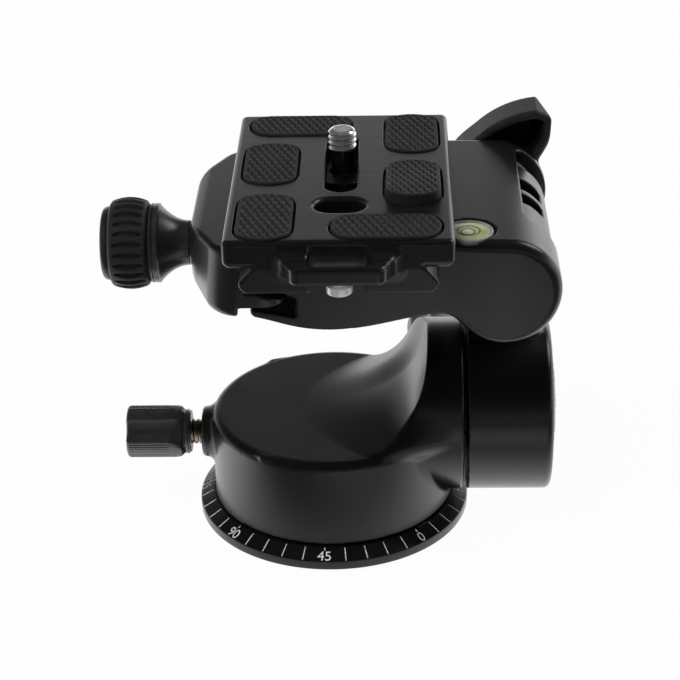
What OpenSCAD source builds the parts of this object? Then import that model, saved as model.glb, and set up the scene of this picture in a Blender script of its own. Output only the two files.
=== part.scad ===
// Three-way tripod head with a dovetail quick-release clamp, in millimetres.
// +Z is up, +X points to the tilt barrel and +Y to the rear.
// The origin is the centre of the base's underside, on the pan axis.

/* [Fits] */
// Gap between pieces that move past each other
clear = 0.3; // [0.2:0.05:0.4]
// Radial clearance of a shaft that turns or slides in its bore
run = 0.05; // [0.02:0.01:0.1]
// Gap between flat faces that rub on each other
face_gap = 0.1; // [0.05:0.05:0.2]
// Radial gap of a piece that is seated in its pocket
seat = 0.02; // [0.01:0.01:0.05]

/* [Base] */
// Radius of the graduated base disc
base_r = 31.4; // [30.4:0.1:33]
// Height of the base disc's upright rim
rim_h = 2.8; // [2.2:0.1:3.2]
// Chamfer on the rim's edges
rim_edge = 0.4; // [0.2:0.1:0.6]
// Height of the scale's inner edge
scale_h = 4.5; // [4:0.1:5]
// Radius of the pan spigot
spigot_r = 13; // [12:0.1:13.6]
// Depth of the brake groove round the pan spigot
groove_d = 1.4; // [1:0.1:2]
// Length of the tripod thread
socket_len = 10; // [8:0.5:11]
// Radius of the tripod thread
socket_r = 4.7625; // [3.175, 4.7625]
// Wall of the threaded insert
insert_wall = 2.2; // [1.6:0.1:2.6]
// Outer radius of the pan friction ring
ring_r = 25; // [24:0.1:26]
// Width of the pan friction ring
ring_w = 8; // [6:0.5:9]
// Thickness of the pan friction ring
ring_t = 1.2; // [0.8:0.1:1.4]

/* [Body] */
// Radius of the drum
drum_r = 27.8; // [27:0.1:28.6]
// Gap between the drum and the scale under it
drum_gap = 0.4; // [0.3:0.05:0.6]
// Height of the drum's flat top
drum_top = 25.4; // [25:0.1:26.5]
// Round on the drum's top edge
drum_round = 2; // [1:0.1:2.5]
// Roof over the pan spigot
roof_t = 1.9; // [1.5:0.1:2.2]
// Radius of the neck and of the tilt barrel
neck_r = 19.8; // [19:0.1:20.4]
// Height of the neck's underside
neck_foot = 6; // [5.7:0.1:6.6]
// Distance from the pan axis to the neck's right face
neck_x = 29.9; // [29.7:0.1:30.6]
// Thickness of the neck at its top
neck_t = 7.9; // [7:0.1:9]
// Radius of the sweep from the drum up to the neck
sweep_r = 20.2; // [18:0.1:22]
// Radius of the retaining grub screws
grub_r = 2; // [1.5:0.1:2.2]
// How far a grub screw lies below the drum's side
grub_sunk = 1.5; // [1:0.1:2.5]
// Angle of each grub screw from the rear
grub_angle = 35; // [25:1:45]

/* [Lock knobs] */
// Height of the pan lock's axis
pan_lock_z = 18.6; // [18:0.1:18.8]
// Distance from the pan axis to the tilt lock's axis
tilt_lock_x = 23.8; // [23.4:0.1:23.9]
// Radius of the lock studs
stud_r = 3; // [2.5:0.1:3.1]
// Length of stud that shows
stud_show = 2.6; // [2:0.1:3.5]
// Length of stud inside the knob
stud_grip = 7; // [5:0.5:10]
// Radius of the lock bosses
boss_r = 5.9; // [5.4:0.1:6]
// How far a lock boss stands out
boss_len = 2.5; // [2:0.1:3]
// How far a lock boss reaches into the casting
boss_root = 5; // [4:0.5:6]
// Wall of the lock bushes
lock_bush_wall = 1.6; // [1.2:0.1:1.9]
// Length of the lock bushes
lock_bush_len = 7; // [6:0.1:7.4]
// Length of the brake shoes
shoe_len = 4.5; // [3.5:0.1:5]
// Radius of the lock knobs
knob_r = 6.3; // [6:0.1:6.6]
// Length of a lock knob's lobed body
knob_len = 14.3; // [12:0.1:16]
// Radius of a lock knob's collar
collar_r = 5.2; // [4.8:0.1:5.8]
// Length of a lock knob's collar
collar_len = 1.2; // [0.8:0.1:2]
// Radius of the scoops between the lobes
scoop_r = 7; // [6:0.1:9]
// Depth of the scoops between the lobes
scoop_d = 1.7; // [1:0.1:2.2]

/* [Tilt barrel] */
// Seam between the neck and the tilt barrel
seam = 0.8; // [0.6:0.1:1]
// Length of the tilt barrel
barrel_len = 19.5; // [19:0.1:21]
// Chamfer on the tilt barrel's end
barrel_edge = 1; // [0.5:0.1:1.5]
// Radius of the tilt barrel's spigot
tilt_spigot_r = 10; // [9.5:0.1:10.4]
// Wall of the tilt bush
tilt_bush_wall = 2; // [1.5:0.1:2.4]
// Length of the tilt bush
tilt_bush_len = 9.5; // [9.3:0.1:9.8]
// Radius of the tilt axle
axle_r = 4; // [3.5:0.1:4.2]
// Length of the axle's thread in the neck
axle_thread = 5.9; // [5:0.1:6.2]
// Radius of the axle's head
axle_head_r = 7; // [6.5:0.1:7.4]
// Height of the axle's head
axle_head_h = 2.6; // [2:0.1:3]
// Thickness of the tilt washer
tilt_washer_t = 1; // [0.8:0.1:1.4]
// Height of the tilt spring washer
tilt_spring_h = 1.1; // [0.8:0.1:1.4]
// Thickness of the spring washer's sheet
tilt_spring_t = 0.6; // [0.4:0.1:0.7]
// Radius of the tilt dial
dial_r = 15.8; // [14:0.1:17]
// How far the tilt dial sits in the barrel
dial_seat = 1; // [0.6:0.1:1.2]
// How far the tilt dial stands out
dial_out = 1.1; // [0.8:0.1:1.5]

/* [Tilt arm] */
// Distance from the pan axis to the roll axis
roll_x = 38.2; // [37.6:0.1:39]
// Height of the roll axis above the tilt axis
roll_h = 39.9; // [39:0.1:42]
// Radius of the arm's hub
hub_r = 10.2; // [9.8:0.1:10.6]
// Length of the arm's hub
hub_len = 32.1; // [30:0.1:33]
// Distance from the hub's front end to the pan axis plane
hub_front = 3.2; // [2.8:0.1:4]
// Distance from the arm's upright to the roll axis, inner side
arm_in = 7.2; // [6.6:0.1:7.2]
// Distance from the arm's upright to the roll axis, outer side
arm_out = 8.8; // [8:0.1:9]
// Depth of the arm's upright from front to rear
arm_depth = 20; // [18:0.5:21]
// Wall of the roll bushes
roll_bush_wall = 2; // [1.5:0.1:2.5]
// Length of each roll bush
roll_bush_len = 9.5; // [8:0.5:12]
// Depth of the waist between the hub's end rims
hub_waist_d = 1; // [0.5:0.1:1.4]
// Width of the hub's end rims
hub_rim_w = 4; // [3:0.5:6]

/* [Platform] */
// Radius of the platform's barrel
ear_r = 12.1; // [11.9:0.1:12.6]
// Distance from the pan axis plane to the barrel's front
ear_front = 25.5; // [25:0.1:27]
// Thickness of the barrel's rear wall
ear_rear_t = 3.2; // [2.8:0.1:4]
// Round on the barrel's front edge
ear_round = 3; // [1:0.1:4]
// Thickness of the roll washers
roll_washer_t = 0.6; // [0.4:0.1:0.8]
// Distance from the pan axis plane to the clamp block's front
block_front = 24.6; // [24:0.1:25]
// Distance from the pan axis plane to the clamp block's rear
block_rear = 27; // [26:0.1:29]
// Distance from the plate's middle to the clamp block's left end
block_left = 19.5; // [19.2:0.1:19.8]
// Depth of the belly below the platform's top
belly_d = 20.4; // [20.2:0.1:20.6]
// Radius of the belly's curve
belly_r = 34.4; // [33:0.1:36]
// Distance from the plate's middle to the belly's lowest line, to the left
belly_x = 2.5; // [2:0.1:3]
// Depth of the web below the platform's top
web_d = 17.1; // [16.8:0.1:17.3]
// Angle of the hub slot's upper edge above level
slot_rise = 74; // [70:1:76]
// Angle of the hub slot's lower edge from upright
slot_fall = 10; // [8:1:12]
// Radius of the bubble level
vial_r = 5.4; // [5:0.1:5.5]
// Depth of the bubble level
vial_h = 4; // [3:0.1:4.5]
// Distance from the roll axis to the bubble level, to the left
vial_x = 7.8; // [7.4:0.1:8.2]
// Distance from the pan axis plane to the bubble level, to the front
vial_y = 18.5; // [18:0.1:19]
// Radius of the roll bolt
roll_bolt_r = 4; // [3.5:0.1:4.2]
// Length of the roll bolt in the front ear
roll_bolt_grip = 14; // [10:0.5:16]

/* [Roll lever] */
// Radius of the lever's hub
lever_hub_r = 11.5; // [10.8:0.1:12]
// Depth of the lever from front to rear
lever_depth = 11; // [10:0.1:13]
// Wall of the lever's shell
lever_wall = 1.8; // [1.5:0.1:2.2]
// Reach of the lever's tip from the roll axis
lever_reach = 20.6; // [19:0.1:23]
// Width of the lever's tip
lever_tip = 7.6; // [6:0.1:9]
// Angle of the lever's tip above level
lever_angle = 52; // [48:1:56]
// Angle on the hub where the wing's back edge starts
lever_back = 135; // [125:1:145]
// Angle on the hub where the wing's front edge ends
lever_front = 5; // [0:1:15]
// Bulge of the wing's back edge
lever_bulge = 2.9; // [1:0.1:4]
// Wall of the lever's nut
lever_nut_wall = 2.5; // [2:0.1:3]
// Length of the lever's nut
lever_nut_len = 8; // [6:0.5:8.5]
// Thickness of the lever's screw head
lever_screw_h = 1.4; // [1:0.1:1.6]

/* [Clamp] */
// Gap between the dovetail and each jaw
dove_gap = 0.4; // [0.3:0.05:0.5]
// Half of the jaw's length
jaw_half = 29; // [28:0.5:31]
// Half of the length of the jaw's flat outer face
jaw_flat = 12.6; // [12:0.1:14]
// Distance from the plate's middle to the jaw's outer face
jaw_left = 33.5; // [33:0.1:34.5]
// Distance from the plate's middle to the outer side of the jaw's ends
jaw_end = 25.3; // [24.6:0.1:26]
// Slope on the jaw's outer top edge
jaw_slope = 1.5; // [1:0.1:2]
// Height of the jaw
jaw_h = 15.3; // [15:0.1:15.6]
// Distance from the platform's top to the tongue
tongue_d = 9.7; // [9.5:0.1:10]
// Thickness of the jaw's tongue
tongue_t = 3.4; // [3.2:0.1:3.6]
// Reach of the jaw's tongue under the plate
tongue_len = 8; // [7:0.1:8.4]
// Depth of the tongue's pocket in the platform
pocket_len = 9.7; // [9.4:0.1:10.5]
// Radius of the jaw's guide pins
pin_r = 1.5; // [1.2:0.1:1.6]
// Distance from the clamp's middle to each guide pin
pin_y = 13; // [12:0.5:14]
// Height of the guide pins below the platform's top
pin_d = 7; // [6.9:0.1:7.1]
// Length of the guide pins in the jaw
pin_grip = 7; // [6:0.5:8]
// Radius of the clamp screw
screw_r = 3; // [2.5:0.1:3]
// Height of the clamp screw below the platform's top
screw_d = 10.8; // [10.6:0.1:11]
// Length of the clamp screw in the platform's thread
screw_grip = 14; // [10:0.5:18]
// Radius of the clamp knob's rubber grip
grip_r = 10.25; // [10:0.05:11]
// Length of the rubber grip
grip_len = 9.1; // [8:0.1:11]
// Crown of the rubber grip
grip_crown = 1; // [0.5:0.1:1.3]
// Radius of the clamp knob's core under the grip
core_r = 8; // [7.6:0.1:8.4]
// Radius of the clamp knob's shoulder
shoulder_r = 8.85; // [8.6:0.05:9.4]
// Length of the clamp knob's shoulder
shoulder_len = 2.2; // [1.8:0.1:3]
// Radius of the clamp knob's neck
knob_neck_r = 4.6; // [4.3:0.1:5]
// Length of the clamp knob's flared neck
knob_neck_len = 6.7; // [6:0.1:8]
// Radius of the clamp knob's end cap
cap_r = 8.2; // [7.8:0.1:8.6]
// Length of the clamp knob's end cap
cap_len = 2.4; // [2:0.1:3]

/* [Plate] */
// Width of the plate
plate_w = 47.5; // [46:0.1:48]
// Length of the plate
plate_len = 71.9; // [70:0.1:75]
// Distance from the pan axis to the plate's middle
plate_x = 3.27; // [3:0.01:3.5]
// Distance from the pan axis plane to the plate's middle, to the front
plate_y = 3.5; // [2:0.1:5]
// Thickness of the plate's slab
slab_t = 5.9; // [5.5:0.1:7]
// Gap between the slab and the platform's top
slab_gap = 1; // [0.6:0.1:1.4]
// Radius of the plate's corners
plate_corner = 1.6; // [1:0.1:3]
// Bevel on the plate's top edges
plate_bevel = 0.7; // [0.3:0.1:1.2]
// Width of the dovetail at its neck
neck_w = 35.2; // [34.6:0.1:35.8]
// Width of the dovetail at its widest
dove_w = 40.6; // [40.2:0.1:41]
// Height of the dovetail
dove_h = 5.3; // [5:0.1:5.6]
// Height of the dovetail's upright edge
dove_edge = 0.9; // [0.6:0.1:1.2]
// Inset of the dovetail's foot
dove_foot = 1.7; // [1:0.1:2]
// Length of a rubber pad
pad_len = 22.8; // [21:0.1:23]
// Width of a rubber pad
pad_w = 11.7; // [11:0.1:12]
// Radius of a rubber pad's bowed ends
pad_bow = 7.4; // [6.5:0.1:9]
// Distance from the plate's middle line to the side pads
pad_side_x = 15.5; // [15.2:0.1:15.8]
// Distance from the plate's middle to the corner side pads
pad_corner_y = 23; // [22.5:0.1:23.5]
// Distance from the plate's middle to the middle side pads
pad_mid_y = 5.7; // [5:0.1:6.2]
// Distance from the plate's middle line to the cross pads
pad_end_x = 9.7; // [9.3:0.1:10]
// Distance from the plate's middle to the cross pads
pad_end_y = 28.2; // [28:0.1:29]
// Depth of the pads' recesses
pad_deep = 1.2; // [0.8:0.1:1.6]
// How far the pads stand above the plate
pad_proud = 0.5; // [0.2:0.1:0.8]
// How much further the loose pad stands up
pad_loose = 0.5; // [0:0.1:0.7]
// Width of the camera screw's slot
slot_w = 7; // [6.8:0.1:7.4]
// Distance from the plate's middle to the slot's front end
slot_front = 9.9; // [8.5:0.1:10.2]
// Distance from the plate's middle to the slot's rear end
slot_rear = 22; // [20:0.1:22]
// Length of the front hole
hole_len = 10.7; // [9:0.1:11.5]
// Width of the front hole
hole_w = 7.4; // [6.5:0.1:7.6]
// Distance from the plate's middle to the front hole
hole_y = 16.8; // [16:0.1:17.2]
// Width of the strap loop where it joins the plate
loop_w = 24.4; // [23:0.1:27]
// Width of the strap loop at its bar
loop_bar_w = 18.4; // [17:0.1:20]
// Width of the strap loop's opening
loop_gap = 12; // [10:0.1:13]
// Reach of the strap loop in front of the plate
loop_reach = 6.8; // [6.4:0.1:8]
// Thickness of the strap loop's bar
loop_bar = 1.6; // [1.4:0.1:2.2]
// Height of the strap loop
loop_h = 4; // [3.5:0.1:4.5]
// Distance from the plate's top to the strap loop's top
loop_drop = 2.7; // [2:0.1:3]
// Radius of the stop pins' heads
stop_r = 2.75; // [2.4:0.05:3]
// Height of the stop pins' heads
stop_h = 3.2; // [2.6:0.1:3.4]
// Radius of the stop pins' shanks
stop_shank_r = 2; // [1.5:0.1:2.2]
// Length of the stop pins' shanks
stop_shank = 6; // [4:0.5:7]
// Distance from the plate's middle to each stop pin
stop_y = 31.5; // [31:0.1:32]
// Half of the width of the stop pins' relief
relief_half = 8.5; // [5:0.1:9]
// Travel of the plate to each side in the clamp
plate_travel = 8; // [6:0.5:8]

/* [Camera screw] */
// Radius of the camera screw's thread
thread_r = 3.175; // [2.4:0.005:3.175]
// Radius of the camera screw's relieved shank
shank_r = 2.5; // [2.2:0.1:2.6]
// Height of the camera screw above the plate
thread_out = 5.1; // [4.5:0.1:6.5]
// Distance from the plate's middle to the camera screw
thread_y = 15.2; // [12:0.1:17]
// Radius of the camera screw's head
head_r = 7.6; // [7:0.1:8]
// Height of the camera screw's head
head_h = 2.6; // [2:0.1:3]
// Thickness of the camera screw's washer
washer_t = 0.9; // [0.6:0.1:1.1]
// Width of the coin slot in the camera screw's head
coin_w = 1.6; // [1.2:0.1:2]
// Depth of the coin slot in the camera screw's head
coin_d = 1.2; // [0.8:0.1:1.4]
// Chamfer on the camera screw's end
thread_edge = 0.6; // [0.3:0.1:0.8]

/* [Hidden] */
$fn = 96;
cut = 1;
arc_steps = 16;

// Base and body
body_z = scale_h + drum_gap;
scale_r = drum_r + drum_gap;
insert_r = socket_r + insert_wall;
ring_top = body_z - face_gap;
roof_z = drum_top - roof_t;
spigot_top = roof_z - clear;
groove_r = spigot_r - groove_d;
groove_half = stud_r + clear;
tilt_z = neck_foot + neck_r;
sweep_x = neck_x - neck_t - sweep_r;

// Tilt barrel, from left to right
tilt_bush_x = neck_x - tilt_bush_len;
tilt_bush_r = tilt_spigot_r + run + tilt_bush_wall;
axle_x = tilt_bush_x - axle_thread;
barrel_x = neck_x + seam;
barrel_end = barrel_x + barrel_len;
dial_x = barrel_end - dial_seat;
head_x = dial_x - clear - axle_head_h;
spring_x = head_x - face_gap - tilt_spring_h;
washer_x = spring_x - face_gap - tilt_washer_t;
pocket_x = washer_x - face_gap;
head_pocket_r = axle_head_r + 3 * clear;

// Roll axis
roll_z = tilt_z + roll_h;
hub_rear = hub_len - hub_front;
slot_y0 = -hub_front - roll_washer_t - 2 * face_gap;
slot_y1 = hub_rear + roll_washer_t + 2 * face_gap;
ear_rear = slot_y1 + ear_rear_t;
ear_bore = hub_r + clear;
top_z = roll_z + ear_r;
washer_r = hub_r - hub_waist_d;

// Lever
lever_y = ear_rear + clear;
lever_end = lever_y + lever_depth;
lever_nut_r = roll_bolt_r + run + lever_nut_wall;
lever_nut_end = lever_y + lever_nut_len;
bolt_end = lever_nut_end - clear;

// Plate and dovetail
slab_z = top_z + slab_gap;
plate_top = slab_z + slab_t;
dove_z = slab_z - dove_h;
flank_z = slab_z - (dove_w - neck_w) / 2;
floor_z = dove_z - clear;
plate_front = -plate_y - plate_len / 2;
plate_rear = -plate_y + plate_len / 2;
screw_slot_z = slab_z + clear;
head_room_r = head_r + 2 * clear;
relief_len = block_rear - (stop_y - plate_y - plate_travel - stop_r - clear);

// Clamp
left_x = plate_x - block_left;
jaw_x = plate_x - jaw_left;
jaw_in = left_x - 2 * clear;
clamp_z = top_z - screw_d;
tongue_top = top_z - tongue_d;
tongue_z = tongue_top - tongue_t;
jaw_z = top_z - jaw_h;
knob_x = jaw_x - clear;
neck_end_x = knob_x - knob_neck_len;
grip_x = neck_end_x - shoulder_len;
cap_x = grip_x - grip_len;
web_z = top_z - web_d;
belly_z = top_z - belly_d;
belly_mid = plate_x - belly_x;
belly_run = sqrt(pow(belly_r, 2) - pow(belly_r - (web_z - belly_z), 2));

// Camera screw
thread_at = -plate_y + thread_y;
thread_top = plate_top + thread_out;
washer_z = screw_slot_z - face_gap - washer_t;
head_z = washer_z - face_gap - head_h;

// Pads: place from the plate's middle, and turn
pad_spots = [
    [-pad_side_x, -pad_corner_y, 90], [-pad_side_x, pad_mid_y, 90], [-pad_end_x, pad_end_y, 0],
    [pad_side_x, pad_corner_y, 90], [pad_side_x, -pad_mid_y, 90], [pad_end_x, -pad_end_y, 0],
];
loose_pad = 4;

black = "#1c1c1e";
rubber = "#141415";
steel = "#b9b4aa";
brass = "#b08d4a";
white_plastic = "#dedad0";

// Points of an arc, from one angle to another
function arc(x, y, r, from, to) =
    [for (i = [0 : arc_steps]) let (a = from + (to - from) * i / arc_steps) [x + r * cos(a), y + r * sin(a)]];

// A rod along X, Y or Z between two places on its axis
module rod_x(r, x0, x1, y, z) {
    translate([x0, y, z]) rotate([0, 90, 0]) cylinder(r = r, h = x1 - x0);
}

module rod_y(r, y0, y1, x, z) {
    translate([x, y0, z]) rotate([-90, 0, 0]) cylinder(r = r, h = y1 - y0);
}

module rod_z(r, z0, z1, x, y) {
    translate([x, y, z0]) cylinder(r = r, h = z1 - z0);
}

// A ring along Y between two places on its axis
module ring_y(r_out, r_in, y0, y1, x, z) {
    difference() {
        rod_y(r_out, y0, y1, x, z);
        rod_y(r_in, y0 - cut, y1 + cut, x, z);
    }
}

module ring_x(r_out, r_in, x0, x1, y, z) {
    difference() {
        rod_x(r_out, x0, x1, y, z);
        rod_x(r_in, x0 - cut, x1 + cut, y, z);
    }
}

module ring_z(r_out, r_in, z0, z1) {
    difference() {
        rod_z(r_out, z0, z1, 0, 0);
        rod_z(r_in, z0 - cut, z1 + cut, 0, 0);
    }
}

// A box between two corners
module box(a, b) {
    translate(a) cube(b - a);
}

// An outline in X and Z, drawn out along Y
module prism_y(y0, y1) {
    translate([0, y1, 0]) rotate([90, 0, 0]) linear_extrude(y1 - y0) children();
}

// Places of the two locks: the axis points outwards along +X
module at_pan_lock() {
    translate([0, 0, pan_lock_z]) rotate([0, 0, 180]) children();
}

module at_tilt_lock() {
    translate([tilt_lock_x, 0, tilt_z]) rotate([0, 0, 90]) children();
}

pan_face = drum_r + boss_len;
tilt_face = neck_r + boss_len;

// Base
module base_plate() {
    ring_in = ring_r - ring_w;
    ring_z = ring_top - ring_t;
    color(black) rotate_extrude() polygon([
        [insert_r + seat, 0], [base_r - rim_edge, 0], [base_r, rim_edge],
        [base_r, rim_h - rim_edge], [base_r - rim_edge, rim_h], [scale_r, scale_h],
        [ring_r + seat, scale_h], [ring_r + seat, ring_z],
        [ring_in - seat, ring_z], [ring_in - seat, scale_h],
        [spigot_r, scale_h], [spigot_r, pan_lock_z - groove_half],
        [groove_r, pan_lock_z - groove_half], [groove_r, pan_lock_z + groove_half],
        [spigot_r, pan_lock_z + groove_half], [spigot_r, spigot_top],
        [0, spigot_top], [0, socket_len], [insert_r + seat, socket_len],
    ]);
}

module thread_insert() {
    color(steel) ring_z(insert_r, socket_r, 0, socket_len);
}

module friction_ring() {
    color(white_plastic) ring_z(ring_r, ring_r - ring_w, ring_top - ring_t, ring_top);
}

// Pan body
module drum() {
    rotate_extrude() polygon(concat(
        [[0, body_z], [drum_r, body_z]],
        arc(drum_r - drum_round, drum_top - drum_round, drum_round, 0, 90),
        [[0, drum_top]]
    ));
}

module neck() {
    difference() {
        rod_x(neck_r, sweep_x, neck_x, 0, tilt_z);
        rod_y(sweep_r, -neck_r - cut, neck_r + cut, sweep_x, drum_top + sweep_r);
    }
}

// Hole for a lock's shoe and stud, with the bush's seat at its mouth
module lock_hole(brake_r, face) {
    rod_x(stud_r + 2 * run, brake_r, face, 0, 0);
    rod_x(stud_r + run + lock_bush_wall + seat, face - lock_bush_len, face + cut, 0, 0);
}

module at_grubs() {
    for (side = [-1, 1]) rotate([0, 0, 90 + side * grub_angle]) translate([0, 0, pan_lock_z]) children();
}

module body_casting() {
    color(black) difference() {
        union() {
            drum();
            neck();
            at_pan_lock() rod_x(boss_r, drum_r - boss_root, pan_face, 0, 0);
            at_tilt_lock() rod_x(boss_r, neck_r - boss_root, tilt_face, 0, 0);
        }
        rod_z(spigot_r + run, body_z - cut, roof_z, 0, 0);
        rod_x(tilt_bush_r + seat, tilt_bush_x, neck_x + cut, 0, tilt_z);
        rod_x(axle_r + seat, axle_x, neck_x, 0, tilt_z);
        at_pan_lock() lock_hole(groove_r, pan_face);
        at_tilt_lock() lock_hole(tilt_spigot_r, tilt_face);
        at_grubs() rod_x(grub_r + seat, groove_r, drum_r + cut, 0, 0);
    }
}

module retaining_screws() {
    color(steel) at_grubs() rod_x(grub_r, groove_r + clear, drum_r - grub_sunk, 0, 0);
}

module lock_bush(face) {
    color(brass) ring_x(stud_r + run + lock_bush_wall, stud_r + run, face - lock_bush_len, face, 0, 0);
}

module pan_lock_bush() {
    at_pan_lock() lock_bush(pan_face);
}

module tilt_lock_bush() {
    at_tilt_lock() lock_bush(tilt_face);
}

module tilt_bush() {
    color(brass) difference() {
        ring_x(tilt_bush_r, tilt_spigot_r + run, tilt_bush_x, neck_x, 0, tilt_z);
        at_tilt_lock() rod_x(stud_r + 2 * run, tilt_spigot_r - cut, tilt_bush_r + cut, 0, 0);
    }
}

module tilt_axle() {
    color(steel) {
        rod_x(axle_r, axle_x + clear, head_x + cut, 0, tilt_z);
        rod_x(axle_head_r, head_x, head_x + axle_head_h, 0, tilt_z);
    }
}

module tilt_washer() {
    color(steel) ring_x(axle_head_r, axle_r + run, washer_x, washer_x + tilt_washer_t, 0, tilt_z);
}

module tilt_spring_washer() {
    slope = tilt_spring_h - tilt_spring_t;
    color(steel) translate([spring_x, 0, tilt_z]) rotate([0, 90, 0]) rotate_extrude() polygon([
        [axle_r + run, slope], [axle_head_r, 0],
        [axle_head_r, tilt_spring_t], [axle_r + run, tilt_spring_h],
    ]);
}

// Locks: shoe, stud and three-lobed knob, outwards along +X
module lock_shoe(brake_r) {
    color(white_plastic) rod_x(stud_r - run, brake_r + clear, brake_r + clear + shoe_len, 0, 0);
}

module lock_stud(brake_r, face) {
    shoe_end = brake_r + clear + shoe_len;
    color(steel) rod_x(stud_r, shoe_end + face_gap, face + stud_show + stud_grip, 0, 0);
}

module lock_knob(face) {
    collar_x = face + stud_show;
    body_x = collar_x + collar_len;
    color(black) difference() {
        union() {
            rod_x(collar_r, collar_x, body_x + cut, 0, 0);
            rod_x(knob_r, body_x, body_x + knob_len, 0, 0);
        }
        rod_x(stud_r + seat, collar_x - cut, collar_x + stud_grip, 0, 0);
        for (turn = [0 : 120 : 240]) rotate([turn, 0, 0])
            rod_x(scoop_r, body_x + collar_len, body_x + knob_len + cut, 0, knob_r - scoop_d + scoop_r);
    }
}

module pan_lock_shoe() {
    at_pan_lock() lock_shoe(groove_r);
}

module pan_lock_stud() {
    at_pan_lock() lock_stud(groove_r, pan_face);
}

module pan_lock_knob() {
    at_pan_lock() lock_knob(pan_face);
}

module tilt_lock_shoe() {
    at_tilt_lock() lock_shoe(tilt_spigot_r);
}

module tilt_lock_stud() {
    at_tilt_lock() lock_stud(tilt_spigot_r, tilt_face);
}

module tilt_lock_knob() {
    at_tilt_lock() lock_knob(tilt_face);
}

// Tilt arm
module tilt_barrel() {
    spigot_x = tilt_bush_x + clear;
    translate([0, 0, tilt_z]) rotate([0, 90, 0]) rotate_extrude() polygon([
        [0, spigot_x], [tilt_spigot_r, spigot_x], [tilt_spigot_r, barrel_x],
        [neck_r, barrel_x], [neck_r, barrel_end - barrel_edge],
        [neck_r - barrel_edge, barrel_end], [0, barrel_end],
    ]);
}

module arm_hub() {
    waist_r = hub_r - hub_waist_d;
    translate([roll_x, -hub_front, roll_z]) rotate([-90, 0, 0]) rotate_extrude() polygon([
        [0, 0], [hub_r, 0], [hub_r, hub_rim_w], [waist_r, hub_rim_w + hub_waist_d],
        [waist_r, hub_len - hub_rim_w - hub_waist_d], [hub_r, hub_len - hub_rim_w],
        [hub_r, hub_len], [0, hub_len],
    ]);
}

module tilt_arm() {
    color(black) difference() {
        union() {
            tilt_barrel();
            box([roll_x - arm_in, -hub_front, tilt_z], [roll_x + arm_out, arm_depth - hub_front, roll_z]);
            arm_hub();
        }
        rod_x(axle_r + run, tilt_bush_x, barrel_end, 0, tilt_z);
        rod_x(head_pocket_r, pocket_x, barrel_end, 0, tilt_z);
        rod_x(dial_r + seat, dial_x, barrel_end + cut, 0, tilt_z);
        rod_y(roll_bolt_r + run + roll_bush_wall + seat, -hub_front - cut, hub_rear + cut, roll_x, roll_z);
    }
}

module tilt_dial() {
    dome_r = (pow(dial_r, 2) + pow(dial_out, 2)) / (2 * dial_out);
    dome_a = asin(dial_r / dome_r);
    color("#6d6d70") translate([dial_x, 0, tilt_z]) rotate([0, 90, 0]) rotate_extrude() polygon(concat(
        [[0, 0], [dial_r, 0]],
        arc(0, dial_seat + dial_out - dome_r, dome_r, 90 - dome_a, 90)
    ));
}

module roll_bush(y0) {
    bore_r = roll_bolt_r + run;
    color(brass) ring_y(bore_r + roll_bush_wall, bore_r, y0, y0 + roll_bush_len, roll_x, roll_z);
}

module roll_bush_front() {
    roll_bush(-hub_front);
}

module roll_bush_rear() {
    roll_bush(hub_rear - roll_bush_len);
}

// Platform
module clamp_section() {
    flank_x = plate_x + dove_w / 2 + dove_gap;
    lip_x = flank_x - (top_z - flank_z);
    belly_turn = asin(belly_run / belly_r);
    left_turn = asin((belly_mid - left_x) / belly_r);
    polygon(concat(
        arc(belly_mid, belly_z + belly_r, belly_r, 270 - left_turn, 270 + belly_turn),
        [[roll_x, web_z], [roll_x, top_z], [lip_x, top_z], [flank_x, flank_z],
            [flank_x, floor_z], [left_x, floor_z]]
    ));
}

module ear_barrel() {
    length = ear_front + ear_rear;
    translate([roll_x, -ear_front, roll_z]) rotate([-90, 0, 0]) rotate_extrude() polygon(concat(
        [[0, 0]],
        arc(ear_r - ear_round, ear_round, ear_round, 270, 360),
        [[ear_r, length], [0, length]]
    ));
}

// Room for the arm between the ears, from below round to the slot's upper edge
module hub_slot() {
    far = 3 * ear_r;
    low_x = -arm_in - 2 * clear;
    prism_y(slot_y0, slot_y1) translate([roll_x, roll_z]) {
        circle(r = ear_bore);
        polygon([
            [low_x, 0], [low_x - far * tan(slot_fall), -far], [far, -far], [far, far],
            [far / tan(slot_rise), far], [0, 0],
        ]);
    }
}

module stop_reliefs() {
    half = [relief_half, 0, 0];
    low = floor_z - stop_h - 2 * clear;
    box([plate_x, -block_front - cut, low] - half, [plate_x, relief_len - block_front, floor_z + cut] + half);
    box([plate_x, block_rear - relief_len, low] - half, [plate_x, block_rear + cut, floor_z + cut] + half);
}

module platform_casting() {
    pocket_end = left_x + pocket_len;
    color(black) difference() {
        union() {
            prism_y(-block_front, block_rear) clamp_section();
            ear_barrel();
        }
        hub_slot();
        stop_reliefs();
        box([left_x - cut, -block_front - cut, tongue_z - clear],
            [pocket_end, block_rear + cut, tongue_top + clear]);
        rod_x(screw_r + clear, left_x - cut, pocket_end, 0, clamp_z);
        rod_x(screw_r + run, pocket_end - cut, pocket_end + screw_grip + clear, 0, clamp_z);
        for (side = [-1, 1])
            rod_x(pin_r + run, left_x - cut, pocket_end - cut, side * pin_y, top_z - pin_d);
        rod_z(vial_r + seat, top_z - vial_h, top_z + cut, roll_x - vial_x, -vial_y);
        rod_y(roll_bolt_r + seat, slot_y0 - roll_bolt_grip, slot_y0 + cut, roll_x, roll_z);
        rod_y(roll_bolt_r + run, slot_y1 - cut, ear_rear + cut, roll_x, roll_z);
    }
}

module roll_bolt() {
    color(steel) rod_y(roll_bolt_r, slot_y0 - roll_bolt_grip + clear, bolt_end, roll_x, roll_z);
}

module roll_washer(y0) {
    color(white_plastic) ring_y(washer_r, roll_bolt_r + run, y0, y0 + roll_washer_t, roll_x, roll_z);
}

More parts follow.
